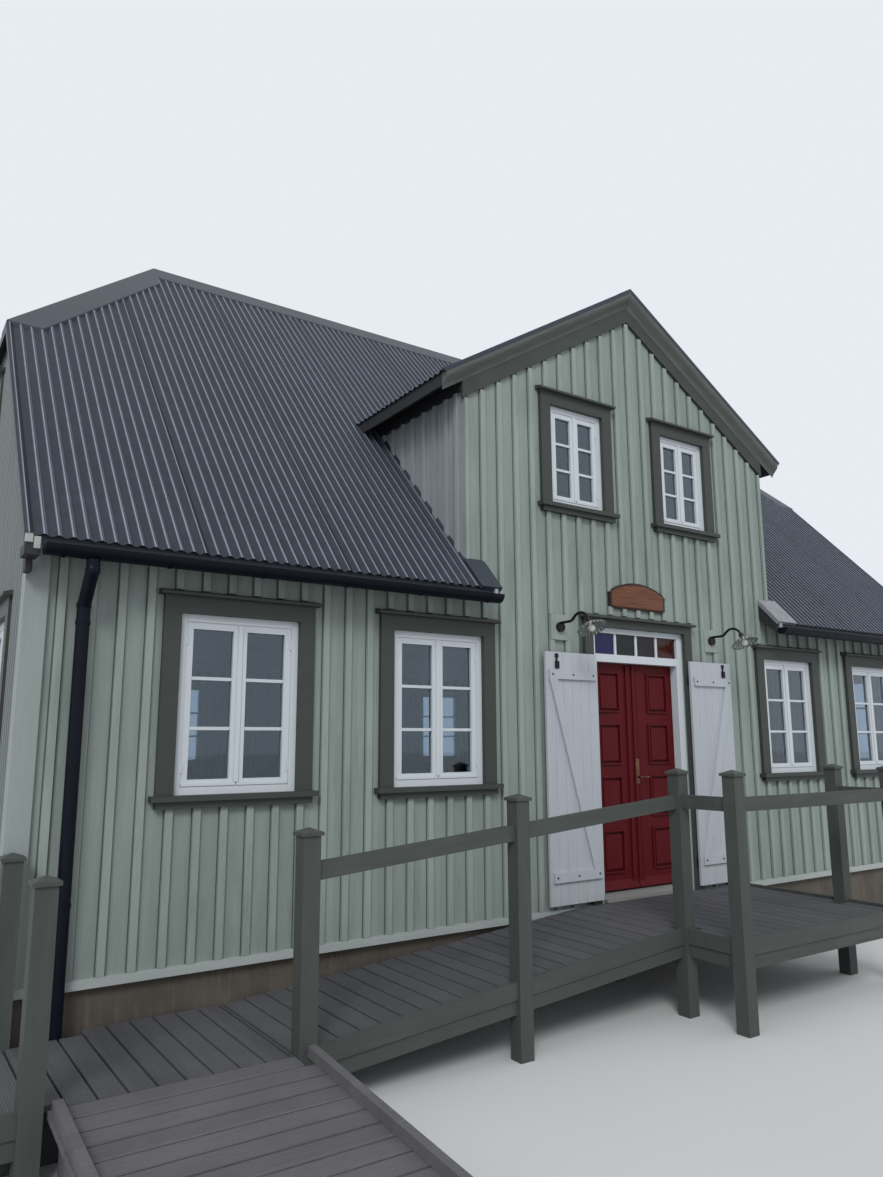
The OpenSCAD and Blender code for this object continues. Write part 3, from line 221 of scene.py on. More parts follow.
def fitted(name, bm, mat, body="house", smooth=False):
    """Makes the mesh an object that rides on a body, in its finish."""
    mesh = bpy.data.meshes.new(name)
    bm.to_mesh(mesh)
    bm.free()
    mesh.materials.append(mat)
    if smooth:
        mesh.shade_smooth()
        mesh.set_sharp_from_angle(angle=math.radians(50))
    made = bpy.data.objects.new(name, mesh)
    bpy.context.scene.collection.objects.link(made)
    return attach(made, body)


def soften(made, width=0.003, segments=2):
    """Rounds the edges of a piece a little."""
    edge = made.modifiers.new("edges", "BEVEL")
    edge.width = width
    edge.segments = segments
    edge.limit_method = "ANGLE"
    edge.harden_normals = True
    return made


def open_runs(low, high, x0, x1, holes):
    """The stretches between two heights that no hole across x0 to x1 takes."""
    runs = [(low, high)]
    for hx0, hx1, hz0, hz1 in holes:
        if hx0 < x1 and hx1 > x0:
            runs = [piece for a, b in runs for piece in ((a, min(b, hz0)), (max(a, hz1), b))]
            runs = [(a, b) for a, b in runs if b - a > 0.02]
    return runs


CASING = 0.108          # breadth of the casing beside a window's frame
CAP_OVER = 0.032        # how far a window's cap and sill reach past the casing


def casing_holes(centre, foot, width, height):
    """What a window's casing, sill and cap cover on the wall."""
    half = width / 2 + CASING
    reach = half + CAP_OVER
    head = foot + height
    return [(centre - half, centre + half, foot - 0.076, head + 0.134),
            (centre - reach, centre + reach, foot - 0.034, foot + 0.002),
            (centre - reach, centre + reach, head + 0.106, head + 0.148)]


GROUND_WINDOW = (0.798, 1.107)      # breadth and height of a frame
UPPER_WINDOW = (0.61, 0.88)
GROUND_FOOT = 1.52      # foot of the ground floor's frames
UPPER_FOOT = 3.805      # and of the attic's
GROUND_X = (-3.655, -2.125, 2.125, 3.655)       # middles of the windows along the front and back
UPPER_X = (-0.68, 0.68)
END_Y = (-2.15, 2.15)   # middles of the ground floor's windows in an end wall
BASE_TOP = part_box("base_boards")[1].z
wall_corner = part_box("back_wall")[1]
SIDE, FRONT = wall_corner.x, wall_corner.y      # the walls' faces, from the middle of the house
LAST_BATTEN = 4.8       # the corner boards take over from here
EAVE_FOOT = 3.135       # where the battens meet the roof boarding
GABLE_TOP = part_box("gable_roof_left")[1].z      # where the gable roof's two slopes meet
GABLE_TILT = math.radians(31.8)
GABLE_SLOPE = math.tan(GABLE_TILT)
GABLE_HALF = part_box("front_gable_wall")[1].x    # half the breadth of the gable
GABLE_BATTEN = 11       # the batten on the gable's corner, counted from the middle
RETURN_TOP = 3.225      # over this the corner batten stands on the eave return
FRIEZE = 0.283          # how far under the gable's slopes its battens end

# What covers the wall: the door's casing and cap, the boards of the lamps, the name board and
# the casings of the windows
door_holes = [(-0.667, 0.667, 0, 2.89), (-0.699, 0.699, 2.865, 2.906)]
lamp_holes = [(-1.035, -0.875, 2.651, 2.861), (0.875, 1.035, 2.651, 2.861)]
name_board_holes = [(-0.34, 0.32, 2.98, 3.11), (-0.19, 0.17, 3.1, 3.18)]
ground_holes = [hole for x in GROUND_X for hole in casing_holes(x, GROUND_FOOT, *GROUND_WINDOW)]
upper_holes = [hole for x in UPPER_X for hole in casing_holes(x, UPPER_FOOT, *UPPER_WINDOW)]
front_holes = door_holes + lamp_holes + name_board_holes + ground_holes + upper_holes

WORN_SAGE = tint(104, 111, 105)
# The last figure is the breadth of the painted shade along each batten
sage = painted("sage_boards", tint(134, 145, 140), 0.62, "Z", 0.13, 0.0016, ("X", PITCH), WORN_SAGE,
               BATTEN[0] + 0.013)
cover(sage, "front_wall_left", "front_wall_right", "front_gable_wall", "back_wall")
batten_sage = painted("sage_battens", tint(141, 151, 145), 0.62, "Z", 0.12, 0.0014, ("X", PITCH), WORN_SAGE)
cover(batten_sage, "lamp_boards")

bm = bmesh.new()
for step in range(-28, 29):
    x = step * PITCH
    x0, x1 = x - BATTEN[0] / 2, x + BATTEN[0] / 2
    if abs(x) > LAST_BATTEN:
        continue
    gable_head = GABLE_TOP - max(abs(x0), abs(x1)) * GABLE_SLOPE - FRIEZE
    lengths = [(BASE_TOP, gable_head if abs(step) < GABLE_BATTEN else EAVE_FOOT, x0, x1)]
    if abs(step) == GABLE_BATTEN:
        upper = (x0, GABLE_HALF) if x > 0 else (-GABLE_HALF, x1)
        lengths.append((RETURN_TOP, gable_head, *upper))
    for low, high, left, right in lengths:
        for a, b in open_runs(low, high, x0, x1, front_holes):
            block(bm, left, right, -FRONT - BATTEN[1], -FRONT + 0.001, a, b)
soften(fitted("front_battens", bm, batten_sage), 0.003, 1)

bm = bmesh.new()
for step in range(-28, 29):
    x = step * PITCH
    if abs(x) < LAST_BATTEN:
        for a, b in open_runs(BASE_TOP, EAVE_FOOT, x - BATTEN[0] / 2, x + BATTEN[0] / 2, ground_holes):
            block(bm, x - BATTEN[0] / 2, x + BATTEN[0] / 2, FRONT - 0.001, FRONT + BATTEN[1], a, b)
soften(fitted("back_battens", bm, batten_sage), 0.003, 1)

# End walls: corrugated steel sheets set upright, in a grey-green close to that of the boards.
# They run behind the casings and up to the roof.

RIB = 0.076             # from one wave of a sheet to the next
WAVE = 0.018            # its depth
STEPS = 8               # faces to one wave
SHEET = 0.0014          # thickness of the steel


def ribbed(name, corner, across, up, width, length, cuts, mat, phase=0.0, lift=0.002, holes=()):
    """A corrugated sheet from a lower corner. Each cut is a point and the direction it takes away."""
    bm = bmesh.new()
    columns = round(width / RIB * STEPS)
    levels = sorted({0, length, *(max(0, min(length, z - corner.z)) for h in holes for z in h[2:])})
    bmesh.ops.create_grid(bm, x_segments=columns, y_segments=len(levels) - 1, size=0.5)
    out = across.cross(up)
    for vert in bm.verts:
        over = (vert.co.x + 0.5) * width
        rise = levels[round((vert.co.y + 0.5) * (len(levels) - 1))]
        wave = lift + WAVE / 2 * (1 - math.cos(2 * math.pi * (over + phase) / RIB))
        vert.co = corner + across * over + up * rise + out * wave
    for hole in holes:
        gone = []
        for face in bm.faces:
            middle = face.calc_center_median()
            along = (middle - corner).dot(across)
            if hole[0] < along < hole[1] and hole[2] < middle.z < hole[3]:
                gone.append(face)
        bmesh.ops.delete(bm, geom=gone, context="FACES")
    for point, away in cuts:
        bmesh.ops.bisect_plane(bm, geom=bm.verts[:] + bm.edges[:] + bm.faces[:], plane_co=point,
                               plane_no=away, clear_outer=True)
    bmesh.ops.solidify(bm, geom=bm.faces[:], thickness=SHEET)
    return fitted(name, bm, mat, smooth=True)


def steel(name, colour, rough, along="Z", fade=0.06, seam_and_shade=None, waves=None, shine=1.6):
    """Painted steel sheet: even paint with faint rain marks along the sheet.

    A seam gives the axis, the step and the offset of the laps. With waves, the axis across
    them, a painted highlight runs along each crest with painted shade beside it; shine sets
    how bright the highlight is.
    """
    mat, tree, shader = finish(name, rough)
    long = [10 if axis == along else 1 for axis in "XYZ"]
    marks = sums(tree, "ADD", sums(tree, "MULTIPLY", cloud(tree, 0.06, 4, long), 0.6),
                 sums(tree, "MULTIPLY", cloud(tree, 1.4, 3), 0.4))
    light = tuple(min(1, c * (1 + 2 * fade)) for c in colour[:3]) + (1,)
    dark = tuple(c * (1 - 2 * fade) for c in colour[:3]) + (1,)
    paint = shades(tree, marks, (0.35, dark), (0.68, light))
    # Painted highlight along each crest and painted shade just beside it
    if waves:
        place = sums(tree, "FRACT", sums(tree, "DIVIDE", part_of(tree, waves), RIB))
        plain, low, faint_highlight = ((v / shine,) * 3 + (1,) for v in (0.8, 0.5, 0.8 + (shine - 0.8) * 0.35))
        crest_highlight = (1, 0.96, 0.9, 1)
        painted_light_stripes = shades(tree, place, (0.0, plain), (0.4, plain), (0.47, crest_highlight), (0.53, crest_highlight), (0.58, low),
                        (0.67, faint_highlight), (0.76, plain))
        paint = mixed(tree, 1.0, paint, painted_light_stripes, "MULTIPLY")
        paint = mixed(tree, 1.0, paint, (shine, shine, shine, 1), "MULTIPLY")
    if seam_and_shade:
        axis, step, offset = seam_and_shade
        place = sums(tree, "DIVIDE", sums(tree, "ADD", part_of(tree, axis), offset), step)
        line = sums(tree, "LESS_THAN", sums(tree, "FRACT", place), 0.022)
        paint = mixed(tree, sums(tree, "MULTIPLY", line, 0.85), paint, tint(12, 14, 22))
    tree.links.new(paint, shader.inputs["Base Color"])
    relief(tree, shader, cloud(tree, 0.3, 4), 0.0015)
    return mat


MAIN_SLOPE = math.radians(47.2)
RIDGE = 6.6698          # where the roof's front and back slopes meet
HIP_EAVE = 5.0068       # height of the hips' eaves
HIP_START = 3.54        # where the ridge ends and a hip begins
HIP_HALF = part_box("roof_hips")[1].y     # half the breadth of a hip's eave
roof_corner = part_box("roof_back")[1]
VERGE, EAVE = roof_corner.x, roof_corner.y      # the roof's ends and its eaves, from the middle
HIP_SLOPE = math.atan2(RIDGE - HIP_EAVE, VERGE - HIP_START)
END_HALF = 3.105        # half the breadth of an end wall's sheets
BOARDING = 0.07         # the sheets end this far under the roof's top

# The end walls' sheets carry painted highlights along their crests, with painted shade beside them
sage_steel = steel("sage_steel", tint(110, 117, 118), 0.5, "Z", 0.05, None, "Y", 1.6)
cover(sage_steel, "left_end_wall", "right_end_wall")
X, Y, Z = Vector((1, 0, 0)), Vector((0, 1, 0)), Vector((0, 0, 1))
roof_up = Vector((0, math.cos(MAIN_SLOPE), math.sin(MAIN_SLOPE)))
roof_out = Vector((0, -math.sin(MAIN_SLOPE), math.cos(MAIN_SLOPE)))
for side, name in ((-1, "left"), (1, "right")):
    holes = [casing_holes(END_HALF + y, GROUND_FOOT, *GROUND_WINDOW)[0] for y in END_Y]
    holes += [casing_holes(END_HALF + y, UPPER_FOOT, *UPPER_WINDOW)[0] for y in UPPER_X]
    under = Vector((0, 0, RIDGE - BOARDING))
    hip_under = Vector((side * HIP_START, 0, RIDGE - BOARDING))
    hip_out = Vector((side * math.sin(HIP_SLOPE), 0, math.cos(HIP_SLOPE)))
    cuts = [(under, roof_out), (under, Vector((0, -roof_out.y, roof_out.z))), (hip_under, hip_out)]
    foot = Vector((side * SIDE, -side * END_HALF, BASE_TOP))
    ribbed(name + "_end_sheeting", foot, Y * side, Z, 2 * END_HALF, 6.0, cuts, sage_steel,
           phase=-END_HALF, holes=holes)

# Cheeks: the two sides of the front gable, where they stand over the roof. They are clad in
# upright boards and battens like the front, in the same sage paint given a greyer tint as painted shade, with
# a thin board at the corner.

cheek_boards_shaded_tint = painted("cheek_boards_shaded_tint", tint(139, 146, 149), 0.62, "Z", 0.1, 0.0014, ("Y", PITCH),
                       tint(100, 105, 106))
cover(cheek_boards_shaded_tint, "gable_cheeks")
CHEEK_TOP = 4.614       # the friezes cover the battens' heads here
CHEEK_FOOT = 3.2        # the lowest point of a cheek
FIRST_BATTEN, SECOND_BATTEN = -3.112, -2.968    # the first stands close to the corner
bm = bmesh.new()
for y in [FIRST_BATTEN] + [SECOND_BATTEN + i * PITCH for i in range(7)]:
    low = RIDGE + (y - BATTEN[0] / 2) * math.tan(MAIN_SLOPE)
    for side in (-1, 1):
        xs = sorted((side * (GABLE_HALF - 0.001), side * (GABLE_HALF + BATTEN[1])))
        block(bm, xs[0], xs[1], y - BATTEN[0] / 2, y + BATTEN[0] / 2, low, CHEEK_TOP)
for side in (-1, 1):
    xs = sorted((side * (GABLE_HALF - 0.001), side * (GABLE_HALF + 0.005)))
    block(bm, xs[0], xs[1], -FRONT - BATTEN[1], FIRST_BATTEN - BATTEN[0] / 2, CHEEK_FOOT, CHEEK_TOP)
soften(fitted("cheek_battens", bm, cheek_boards_shaded_tint), 0.003, 1)

# Roof: corrugated steel sheets in one length from ridge to eave, painted dark slate grey,
# with a lap every thirteen waves. They lie on boarding and hang a little over the eaves.


def dull(*materials):
    """Weathers paint so that it mirrors little of the sky."""
    for mat in materials:
        mat.node_tree.nodes["Principled BSDF"].inputs["Specular IOR Level"].default_value = 0.1


SLATE = tint(61, 66, 75)
# The roof's sheets carry strong painted highlights along their crests, with painted shade beside them
slate_steel = steel("slate_steel", SLATE, 0.5, "Y", 0.07, ("X", 13 * RIB, 0.037), "X", 5.2)
slate_hip = steel("slate_steel_hips", SLATE, 0.5, "X", 0.07, None, "Y", 5.2)
slate_plain = steel("slate_flat_steel", tint(54, 59, 69), 0.45, "X", 0.05)
dull(slate_steel, slate_hip)
cover(slate_plain, "roof_front_left", "roof_front_right", "roof_front_top", "roof_back", "roof_hips")
DRIP = 0.03             # how far the sheets hang over
HIP_BACK = 0.016        # how far the hips' sheets stay behind the verge
eave_y = EAVE + DRIP * math.cos(MAIN_SLOPE)
eave_z = RIDGE - eave_y * math.tan(MAIN_SLOPE)
slope_run = eave_y / math.cos(MAIN_SLOPE)
hip_line = Vector((VERGE - HIP_START, HIP_HALF, 0)).normalized()
for side, name in ((-1, "left"), (1, "right")):
    hip_top = Vector((side * HIP_START, 0, 0))
    start = -VERGE if side < 0 else GABLE_HALF
    ribbed("roof_sheets_front_" + name, Vector((start, -eave_y, eave_z)), X, roof_up, VERGE - GABLE_HALF,
           slope_run, [(hip_top, Vector((side * hip_line.y, hip_line.x, 0)))], slate_steel,
           phase=start, lift=0.001)
    hip_up = Vector((-side * math.cos(HIP_SLOPE), 0, math.sin(HIP_SLOPE)))
    hip_run = VERGE - HIP_BACK - HIP_START
    hip_foot = Vector((side * (HIP_START + hip_run), -side * HIP_HALF, RIDGE - hip_run * math.tan(HIP_SLOPE)))
    ribbed("roof_sheets_hip_" + name, hip_foot, Y * side, hip_up, 2 * HIP_HALF, hip_run / math.cos(HIP_SLOPE),
           [(hip_top, Vector((-side * hip_line.y, -hip_line.x, 0))),
            (hip_top, Vector((-side * hip_line.y, hip_line.x, 0)))],
           slate_hip, phase=-HIP_HALF, lift=0.001)
ribbed("roof_sheets_back", Vector((VERGE, eave_y, eave_z)), -X, Vector((0, -roof_up.y, roof_up.z)), 2 * VERGE,
       slope_run, [(Vector((-HIP_START, 0, 0)), Vector((-hip_line.y, -hip_line.x, 0))),
                   (Vector((HIP_START, 0, 0)), Vector((hip_line.y, -hip_line.x, 0)))],
       slate_steel, phase=-VERGE, lift=0.001)
# Behind the gable the slope ends along the two valleys
valley_top = -(RIDGE - GABLE_TOP) / math.tan(MAIN_SLOPE)
valley_foot = -(RIDGE - GABLE_TOP + GABLE_HALF * GABLE_SLOPE) / math.tan(MAIN_SLOPE)
valley = Vector((GABLE_HALF, valley_foot - valley_top, 0)).normalized()
for side, name in ((-1, "left"), (1, "right")):
    start = -GABLE_HALF if side < 0 else 0
    corner = Vector((start, valley_foot, RIDGE + valley_foot * math.tan(MAIN_SLOPE)))
    ribbed("roof_sheets_top_" + name, corner, X, roof_up, GABLE_HALF, -valley_foot / math.cos(MAIN_SLOPE),
           [(Vector((0, valley_top, 0)), Vector((side * valley.y, -valley.x, 0)))],
           slate_steel, phase=start, lift=0.001)

# Eave returns: beside the gable each eave runs a little way across the wall. A flat sheet with
# folded edges covers it, and a dark board closes its end.

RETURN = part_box("roof_front_right")[0].x    # where the eaves end, from the middle
END_BOARD = 0.028       # thickness of the board that closes an end
COVER = (0.0195, 0.023)     # a flat cover's underside and top, over the boarding
FOLD = 0.003            # thickness of its folded edges
dark_board = painted("dark_end_boards", tint(46, 48, 50), 0.6, "Z", 0.1, 0.0006)
dull_zinc = steel("weathered_zinc", tint(128, 131, 136), 0.4, "Y", 0.12)
on_slope = Matrix.Translation((0, 0, RIDGE)) @ Matrix.Rotation(MAIN_SLOPE, 4, "X")
low, high = -(EAVE + 0.02) / math.cos(MAIN_SLOPE), -FRONT / math.cos(MAIN_SLOPE)
end_boards = bmesh.new()
for side, name, breadth, sheet in ((-1, "left", 0.19, slate_plain), (1, "right", 0.29, dull_zinc)):
    bm = bmesh.new()
    inner = side * (RETURN - END_BOARD)
    xs = sorted((inner, inner + side * breadth))
    block(bm, xs[0], xs[1], low, high, *COVER, on_slope)
    block(bm, xs[0], xs[1], low, low + FOLD, -0.01, COVER[0], on_slope)
    xs = sorted((inner - side * FOLD, inner))
    block(bm, xs[0], xs[1], low, high, -0.012, COVER[1], on_slope)
    made = fitted("eave_return_cover_" + name, bm, sheet)
    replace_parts(made, "verge_flashings")
    for vert in block(end_boards, *sorted((inner, side * RETURN)), -EAVE, -FRONT, 0, 1):
        fall = 0.110 if vert.co.y < -3.3 else 0.198
        vert.co.z = RIDGE + vert.co.y * math.tan(MAIN_SLOPE) + 0.012 - (fall if vert.co.z < 0.5 else 0)
soften(fitted("eave_return_ends", end_boards, dark_board), 0.003, 1)

# Gable roof: the same sheets on both slopes, on boarding whose underside shows, dark with painted shade. A
# strip of folded steel covers their ends along the front edges.

GABLE_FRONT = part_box("gable_barge_boards")[0].y     # the mouldings under the sheets' ends
GABLE_EDGE = 2.112      # the sheets' lower edge, from the middle
bm = bmesh.new()
for side, name in ((-1, "left"), (1, "right")):
    up = Vector((-side * math.cos(GABLE_TILT), 0, math.sin(GABLE_TILT)))
    foot = Vector((side * GABLE_EDGE, GABLE_FRONT if side > 0 else 0, GABLE_TOP - GABLE_EDGE * GABLE_SLOPE))
    ribbed("gable_sheets_" + name, foot, Y * side, up, -GABLE_FRONT, GABLE_EDGE / math.cos(GABLE_TILT),
           [(Vector((0, 0, RIDGE + 0.012)), -roof_out)], slate_hip, phase=foot.y, lift=0.001)
    slope = Matrix.Translation((0, 0, GABLE_TOP)) @ Matrix.Rotation(side * GABLE_TILT, 4, "Y")
    ends = sorted((side * 0.02, side * (GABLE_EDGE / math.cos(GABLE_TILT) + 0.01)))
    block(bm, ends[0], ends[1], GABLE_FRONT - FOLD, GABLE_FRONT + 0.06, COVER[0], COVER[0] + 0.0025, slope)
    block(bm, ends[0], ends[1], GABLE_FRONT - FOLD, GABLE_FRONT, -0.012, COVER[0], slope)
fitted("gable_edge_strips", bm, slate_plain)

# Caps: folded steel over the ridges and hips, where the sheets end. They are smooth and a little
# paler than the sheets.

cap_steel = steel("cap_steel", tint(60, 64, 72), 0.42, "X", 0.05)
cover(cap_steel, "ridge_and_hip_caps", "gable_ridge_cap")

# Barge and trim boards: planed boards painted grey-olive, on the gable's edges and round the
# windows and the door. Corner and base boards and the ends of the eaves are in a lighter grey.

olive = painted("olive_trim", tint(62, 66, 63), 0.5, "X", 0.08, 0.0006)
cover(olive, "window_casings", "door_casing")
cover(painted("worn_sill", tint(134, 132, 130), 0.6, "X", 0.1, 0.0008), "door_sill")
# The gable roof's boards take the dark board colour as painted shade under its overhang
cover(dark_board, "gable_roof_left", "gable_roof_right")
barge, tree, shader = finish("olive_barge_boards", 0.5)
planed = cloud(tree, 0.02, 5, (20, 1, 8))
# The boards at the gable's edge are palest; the friezes under them are darker, painted shade
# beneath those boards, and those along the cheeks darkest, painted shadow under the gable roof
front_paint = shades(tree, planed, (0.3, tint(84, 87, 84)), (0.7, tint(96, 99, 96)))
frieze_painted_shade = shades(tree, planed, (0.3, tint(58, 61, 59)), (0.7, tint(67, 70, 68)))
shaded_frieze_mask = sums(tree, "GREATER_THAN", part_of(tree, "Y"), -3.229)
cheek_shadow_mask = sums(tree, "GREATER_THAN", part_of(tree, "Y"), -3.198)
paint = mixed(tree, shaded_frieze_mask, front_paint, frieze_painted_shade)
tree.links.new(mixed(tree, cheek_shadow_mask, paint, tint(50, 50, 52)), shader.inputs["Base Color"])
relief(tree, shader, planed, 0.0006)
cover(barge, "gable_barge_boards")
pale = painted("pale_trim", tint(161, 168, 166), 0.55, "X", 0.07, 0.0008)
cover(pale, "base_boards")
cover(painted("pale_corner_trim", tint(143, 152, 149), 0.55, "Z", 0.07, 0.0008), "corner_boards")

# Small blocks at the ends of the eaves, and the brackets under them: limits in X, Y and Z, from
# the middle of the house
EAVE_BLOCKS = ((4.955, 4.997, 3.405, 3.442, 2.918, 2.974), (4.915, 4.952, 3.385, 3.442, 2.886, 2.956))
EAVE_BRACKETS = ((4.915, 4.997, 3.290, 3.434, 2.850, 2.914), (4.935, 4.972, 3.245, 3.330, 2.775, 2.862))
blocks, brackets = bmesh.new(), bmesh.new()
for side in (-1, 1):
    for front in (-1, 1):
        for bm, limits in ((blocks, EAVE_BLOCKS), (brackets, EAVE_BRACKETS)):
            for x0, x1, y0, y1, z0, z1 in limits:
                block(bm, *sorted((side * x0, side * x1)), *sorted((front * y0, front * y1)), z0, z1)
    block(blocks, *sorted((side * 1.738, side * 1.768)), -3.442, -3.416, 2.918, 2.968)
soften(fitted("eave_end_blocks", blocks, pale), 0.004, 1)
soften(fitted("eave_end_brackets", brackets, dark_board), 0.004, 1)

# Gutters and downpipes: folded steel, nearly black with a blue tone. The gutters hang in flat
# hooks along the eaves.

gutter_steel = steel("gutter_steel", tint(18, 21, 30), 0.36, "X", 0.05)
dull(gutter_steel)
cover(gutter_steel, "gutters", "downpipes")
GUTTER_R = 0.062        # outside of a gutter
GUTTER_Y, GUTTER_Z = 3.452, 2.9156      # its middle
HOOK_STEP = 0.6         # from one hook to the next
HOOK_START = 0.36       # how far under level a hook begins, in radians


def hook(bm, x, side):
    """A flat hook that wraps a gutter from below."""
    middle = (x, side * GUTTER_Y, GUTTER_Z)
    start = block(bm, x - 0.011, x + 0.011, side * GUTTER_Y + GUTTER_R, side * GUTTER_Y + GUTTER_R + 0.004,
                  GUTTER_Z - 0.0005, GUTTER_Z + 0.0005)
    bmesh.ops.rotate(bm, verts=start, cent=middle, matrix=Matrix.Rotation(-HOOK_START, 3, "X"))
    edges = {edge for vert in start for edge in vert.link_edges}
    faces = {face for vert in start for face in vert.link_faces}
    bmesh.ops.spin(bm, geom=start + list(edges) + list(faces), cent=middle, axis=(1, 0, 0),
                   angle=2 * HOOK_START - math.pi, steps=10, use_merge=False)


bm = bmesh.new()
for side, rows in ((-1, ((-4.8, -1.85), (1.85, 4.8))), (1, ((-4.8, 4.8),))):
    for a, b in rows:
        count = round((b - a) / HOOK_STEP)
        for i in range(count + 1):
            hook(bm, a + (b - a) * i / count, side)
fitted("gutter_hooks", bm, gutter_steel)

# Windows: two hinged sashes side by side in a frame, each with three panes one over another.
# Thin bars part the panes, a moulding covers the meeting edges, and a rail throws off rain.

white = painted("white_joinery", tint(196, 202, 207), 0.4, "Z", 0.03, 0.0003)
cover(white, "window_frames", "window_sashes", "door_frame")


def window_places():
    """Each window's place, turned so that its outer face looks to -Y, with its width and height."""
    found = []
    half_turn = Matrix.Rotation(math.pi, 4, "Z")
    for x in GROUND_X:
        found.append((Matrix.Translation((x, -FRONT, GROUND_FOOT)), *GROUND_WINDOW))
        found.append((Matrix.Translation((x, FRONT, GROUND_FOOT)) @ half_turn, *GROUND_WINDOW))
    for x in UPPER_X:
        found.append((Matrix.Translation((x, -FRONT, UPPER_FOOT)), *UPPER_WINDOW))
    for side in (-1, 1):
        turn = Matrix.Rotation(side * math.pi / 2, 4, "Z")
        for y in END_Y:
            found.append((Matrix.Translation((side * SIDE, y, GROUND_FOOT)) @ turn, *GROUND_WINDOW))
        for y in UPPER_X:
            found.append((Matrix.Translation((side * SIDE, y, UPPER_FOOT)) @ turn, *UPPER_WINDOW))
    return found


FRAME_SIDE = 0.045      # breadth of the frame beside a sash
STILE = 0.046           # breadth of a sash's upright, up to the glass
SASH_FOOT = 0.09        # where the glass begins, over the frame's foot
HALF_BAR = 0.011        # half the breadth of a bar
BAR_DEPTHS = ((0.018, 0.0345), (0.0415, 0.056))     # a bar before the glass and one behind it
bars, hardware = bmesh.new(), bmesh.new()
for place, width, height in window_places():
    leaf = width / 2 - FRAME_SIDE
    edge = leaf - 0.004
    for side in (-1, 1):
        middle = side * leaf / 2
        half = leaf / 2 - STILE
        for i in (1, 2):
            z = SASH_FOOT + (height - 2 * SASH_FOOT) * i / 3
            for y0, y1 in BAR_DEPTHS:
                block(bars, middle - half, middle + half, y0, y1, z - HALF_BAR, z + HALF_BAR, place)
        rail = sorted((side * 0.004, side * edge))
        block(bars, rail[0], rail[1], 0.002, 0.014, 0.049, 0.068, place)
        for z in (0.16, height - 0.16):
            block(hardware, side * edge - 0.006, side * edge + 0.006, 0.004, 0.014, z - 0.03, z + 0.03, place)
    block(bars, -0.016, 0.016, 0.003, 0.014, 0.07, height - 0.047, place)
soften(fitted("window_bars", bars, white), 0.002, 1)
fitted("window_hinges", hardware, white)

glazing, tree, shader = finish("window_glazing", 0.02)
shader.inputs["Base Color"].default_value = (0.46, 0.55, 0.64, 1)
shader.inputs["Transmission Weight"].default_value = 1
shader.inputs["IOR"].default_value = 1.8
shader.inputs["Specular IOR Level"].default_value = 0.5
shader.inputs["Specular Tint"].default_value = (0.8, 0.92, 1.0, 1)
relief(tree, shader, cloud(tree, 0.25, 2), 0.0006)
cover(glazing, "window_glass")

# Panes over the door: four pieces of coloured glass between white bars, in blue, dark green,
# violet and rust.

panes_lo, panes_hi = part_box("transom_glass")
stained, tree, shader = finish("coloured_panes", 0.06)
pane = sums(tree, "ADD", sums(tree, "DIVIDE", part_of(tree, "X"), panes_hi.x - panes_lo.x), 0.5)
steps = shades(tree, pane, (0.0, tint(30, 34, 112)), (0.25, tint(20, 44, 44)), (0.5, tint(50, 32, 50)),
               (0.75, tint(92, 38, 24)))
steps.node.color_ramp.interpolation = "CONSTANT"
glass = mixed(tree, cloud(tree, 0.05, 3), steps, tint(20, 26, 40), "SOFT_LIGHT")
tree.links.new(glass, shader.inputs["Base Color"])
shader.inputs["Transmission Weight"].default_value = 0.35
relief(tree, shader, cloud(tree, 0.03, 2), 0.0008)
cover(stained, "transom_glass")

# Doors: two leaves in dark red, each with four raised panels in mouldings, beads over their
# meeting and a weather bar at the foot. Plate and lever are worn brass, the hinges black.

red = painted("red_door_paint", tint(84, 21, 26), 0.42, "Z", 0.1, 0.0004)
dull(red)
cover(red, "door_leaf_left", "door_leaf_right")
LEAF_Y = -3.105         # the doors' face
MEETING = -0.03         # where the two doors meet
HINGE_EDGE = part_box("door_leaf_right")[1].x     # their outer edges, from the doorway's middle
PANEL = (0.170, 0.430)  # a panel's sides, from the doorway's middle
PANEL_FOOT = 0.745      # foot of the lowest panel
PANEL_HIGH = 0.351      # height of a panel
RAIL = 0.092            # height of the rail between two panels
LIP = 0.016             # breadth of the moulding round a panel
LIP_OUT = 0.015         # how far it stands out
FIELD = 0.036           # from a panel's side to its raised middle


def member(bm, side, x0, x1, out, depth, z0, z1):
    """A piece of moulding between two distances from the middle, on one side."""
    xs = sorted((side * x0, side * x1))
    return block(bm, xs[0], xs[1], LEAF_Y - out, LEAF_Y + depth, z0, z1)


for side, body, name in ((-1, "left_door", "left"), (1, "right_door", "right")):
    bm = bmesh.new()
    a, b = PANEL
    for i in range(4):
        foot = PANEL_FOOT + i * (PANEL_HIGH + RAIL)
        head = foot + PANEL_HIGH
        member(bm, side, a, b, LIP_OUT, 0.013, foot, foot + LIP)
        member(bm, side, a, b, LIP_OUT, 0.013, head - LIP, head)
        member(bm, side, a, a + LIP, LIP_OUT, 0.013, foot + LIP, head - LIP)
        member(bm, side, b - LIP, b, LIP_OUT, 0.013, foot + LIP, head - LIP)
        member(bm, side, a + FIELD, b - FIELD, 0.007, 0, foot + FIELD, head - FIELD)
    meeting = side * MEETING
    for x in (meeting + 0.009, meeting + 0.056):
        member(bm, side, x, x + 0.008, 0.019, -0.013, 0.64, 2.485)
    for vert in member(bm, side, meeting + 0.005, HINGE_EDGE - 0.016, 0.034, 0, 0.618, 0.690):
        if vert.co.z > 0.65 and vert.co.y < LEAF_Y - 0.01:
            vert.co.y = LEAF_Y - 0.006
    soften(fitted("door_mouldings_" + name, bm, red, body), 0.004, 2)

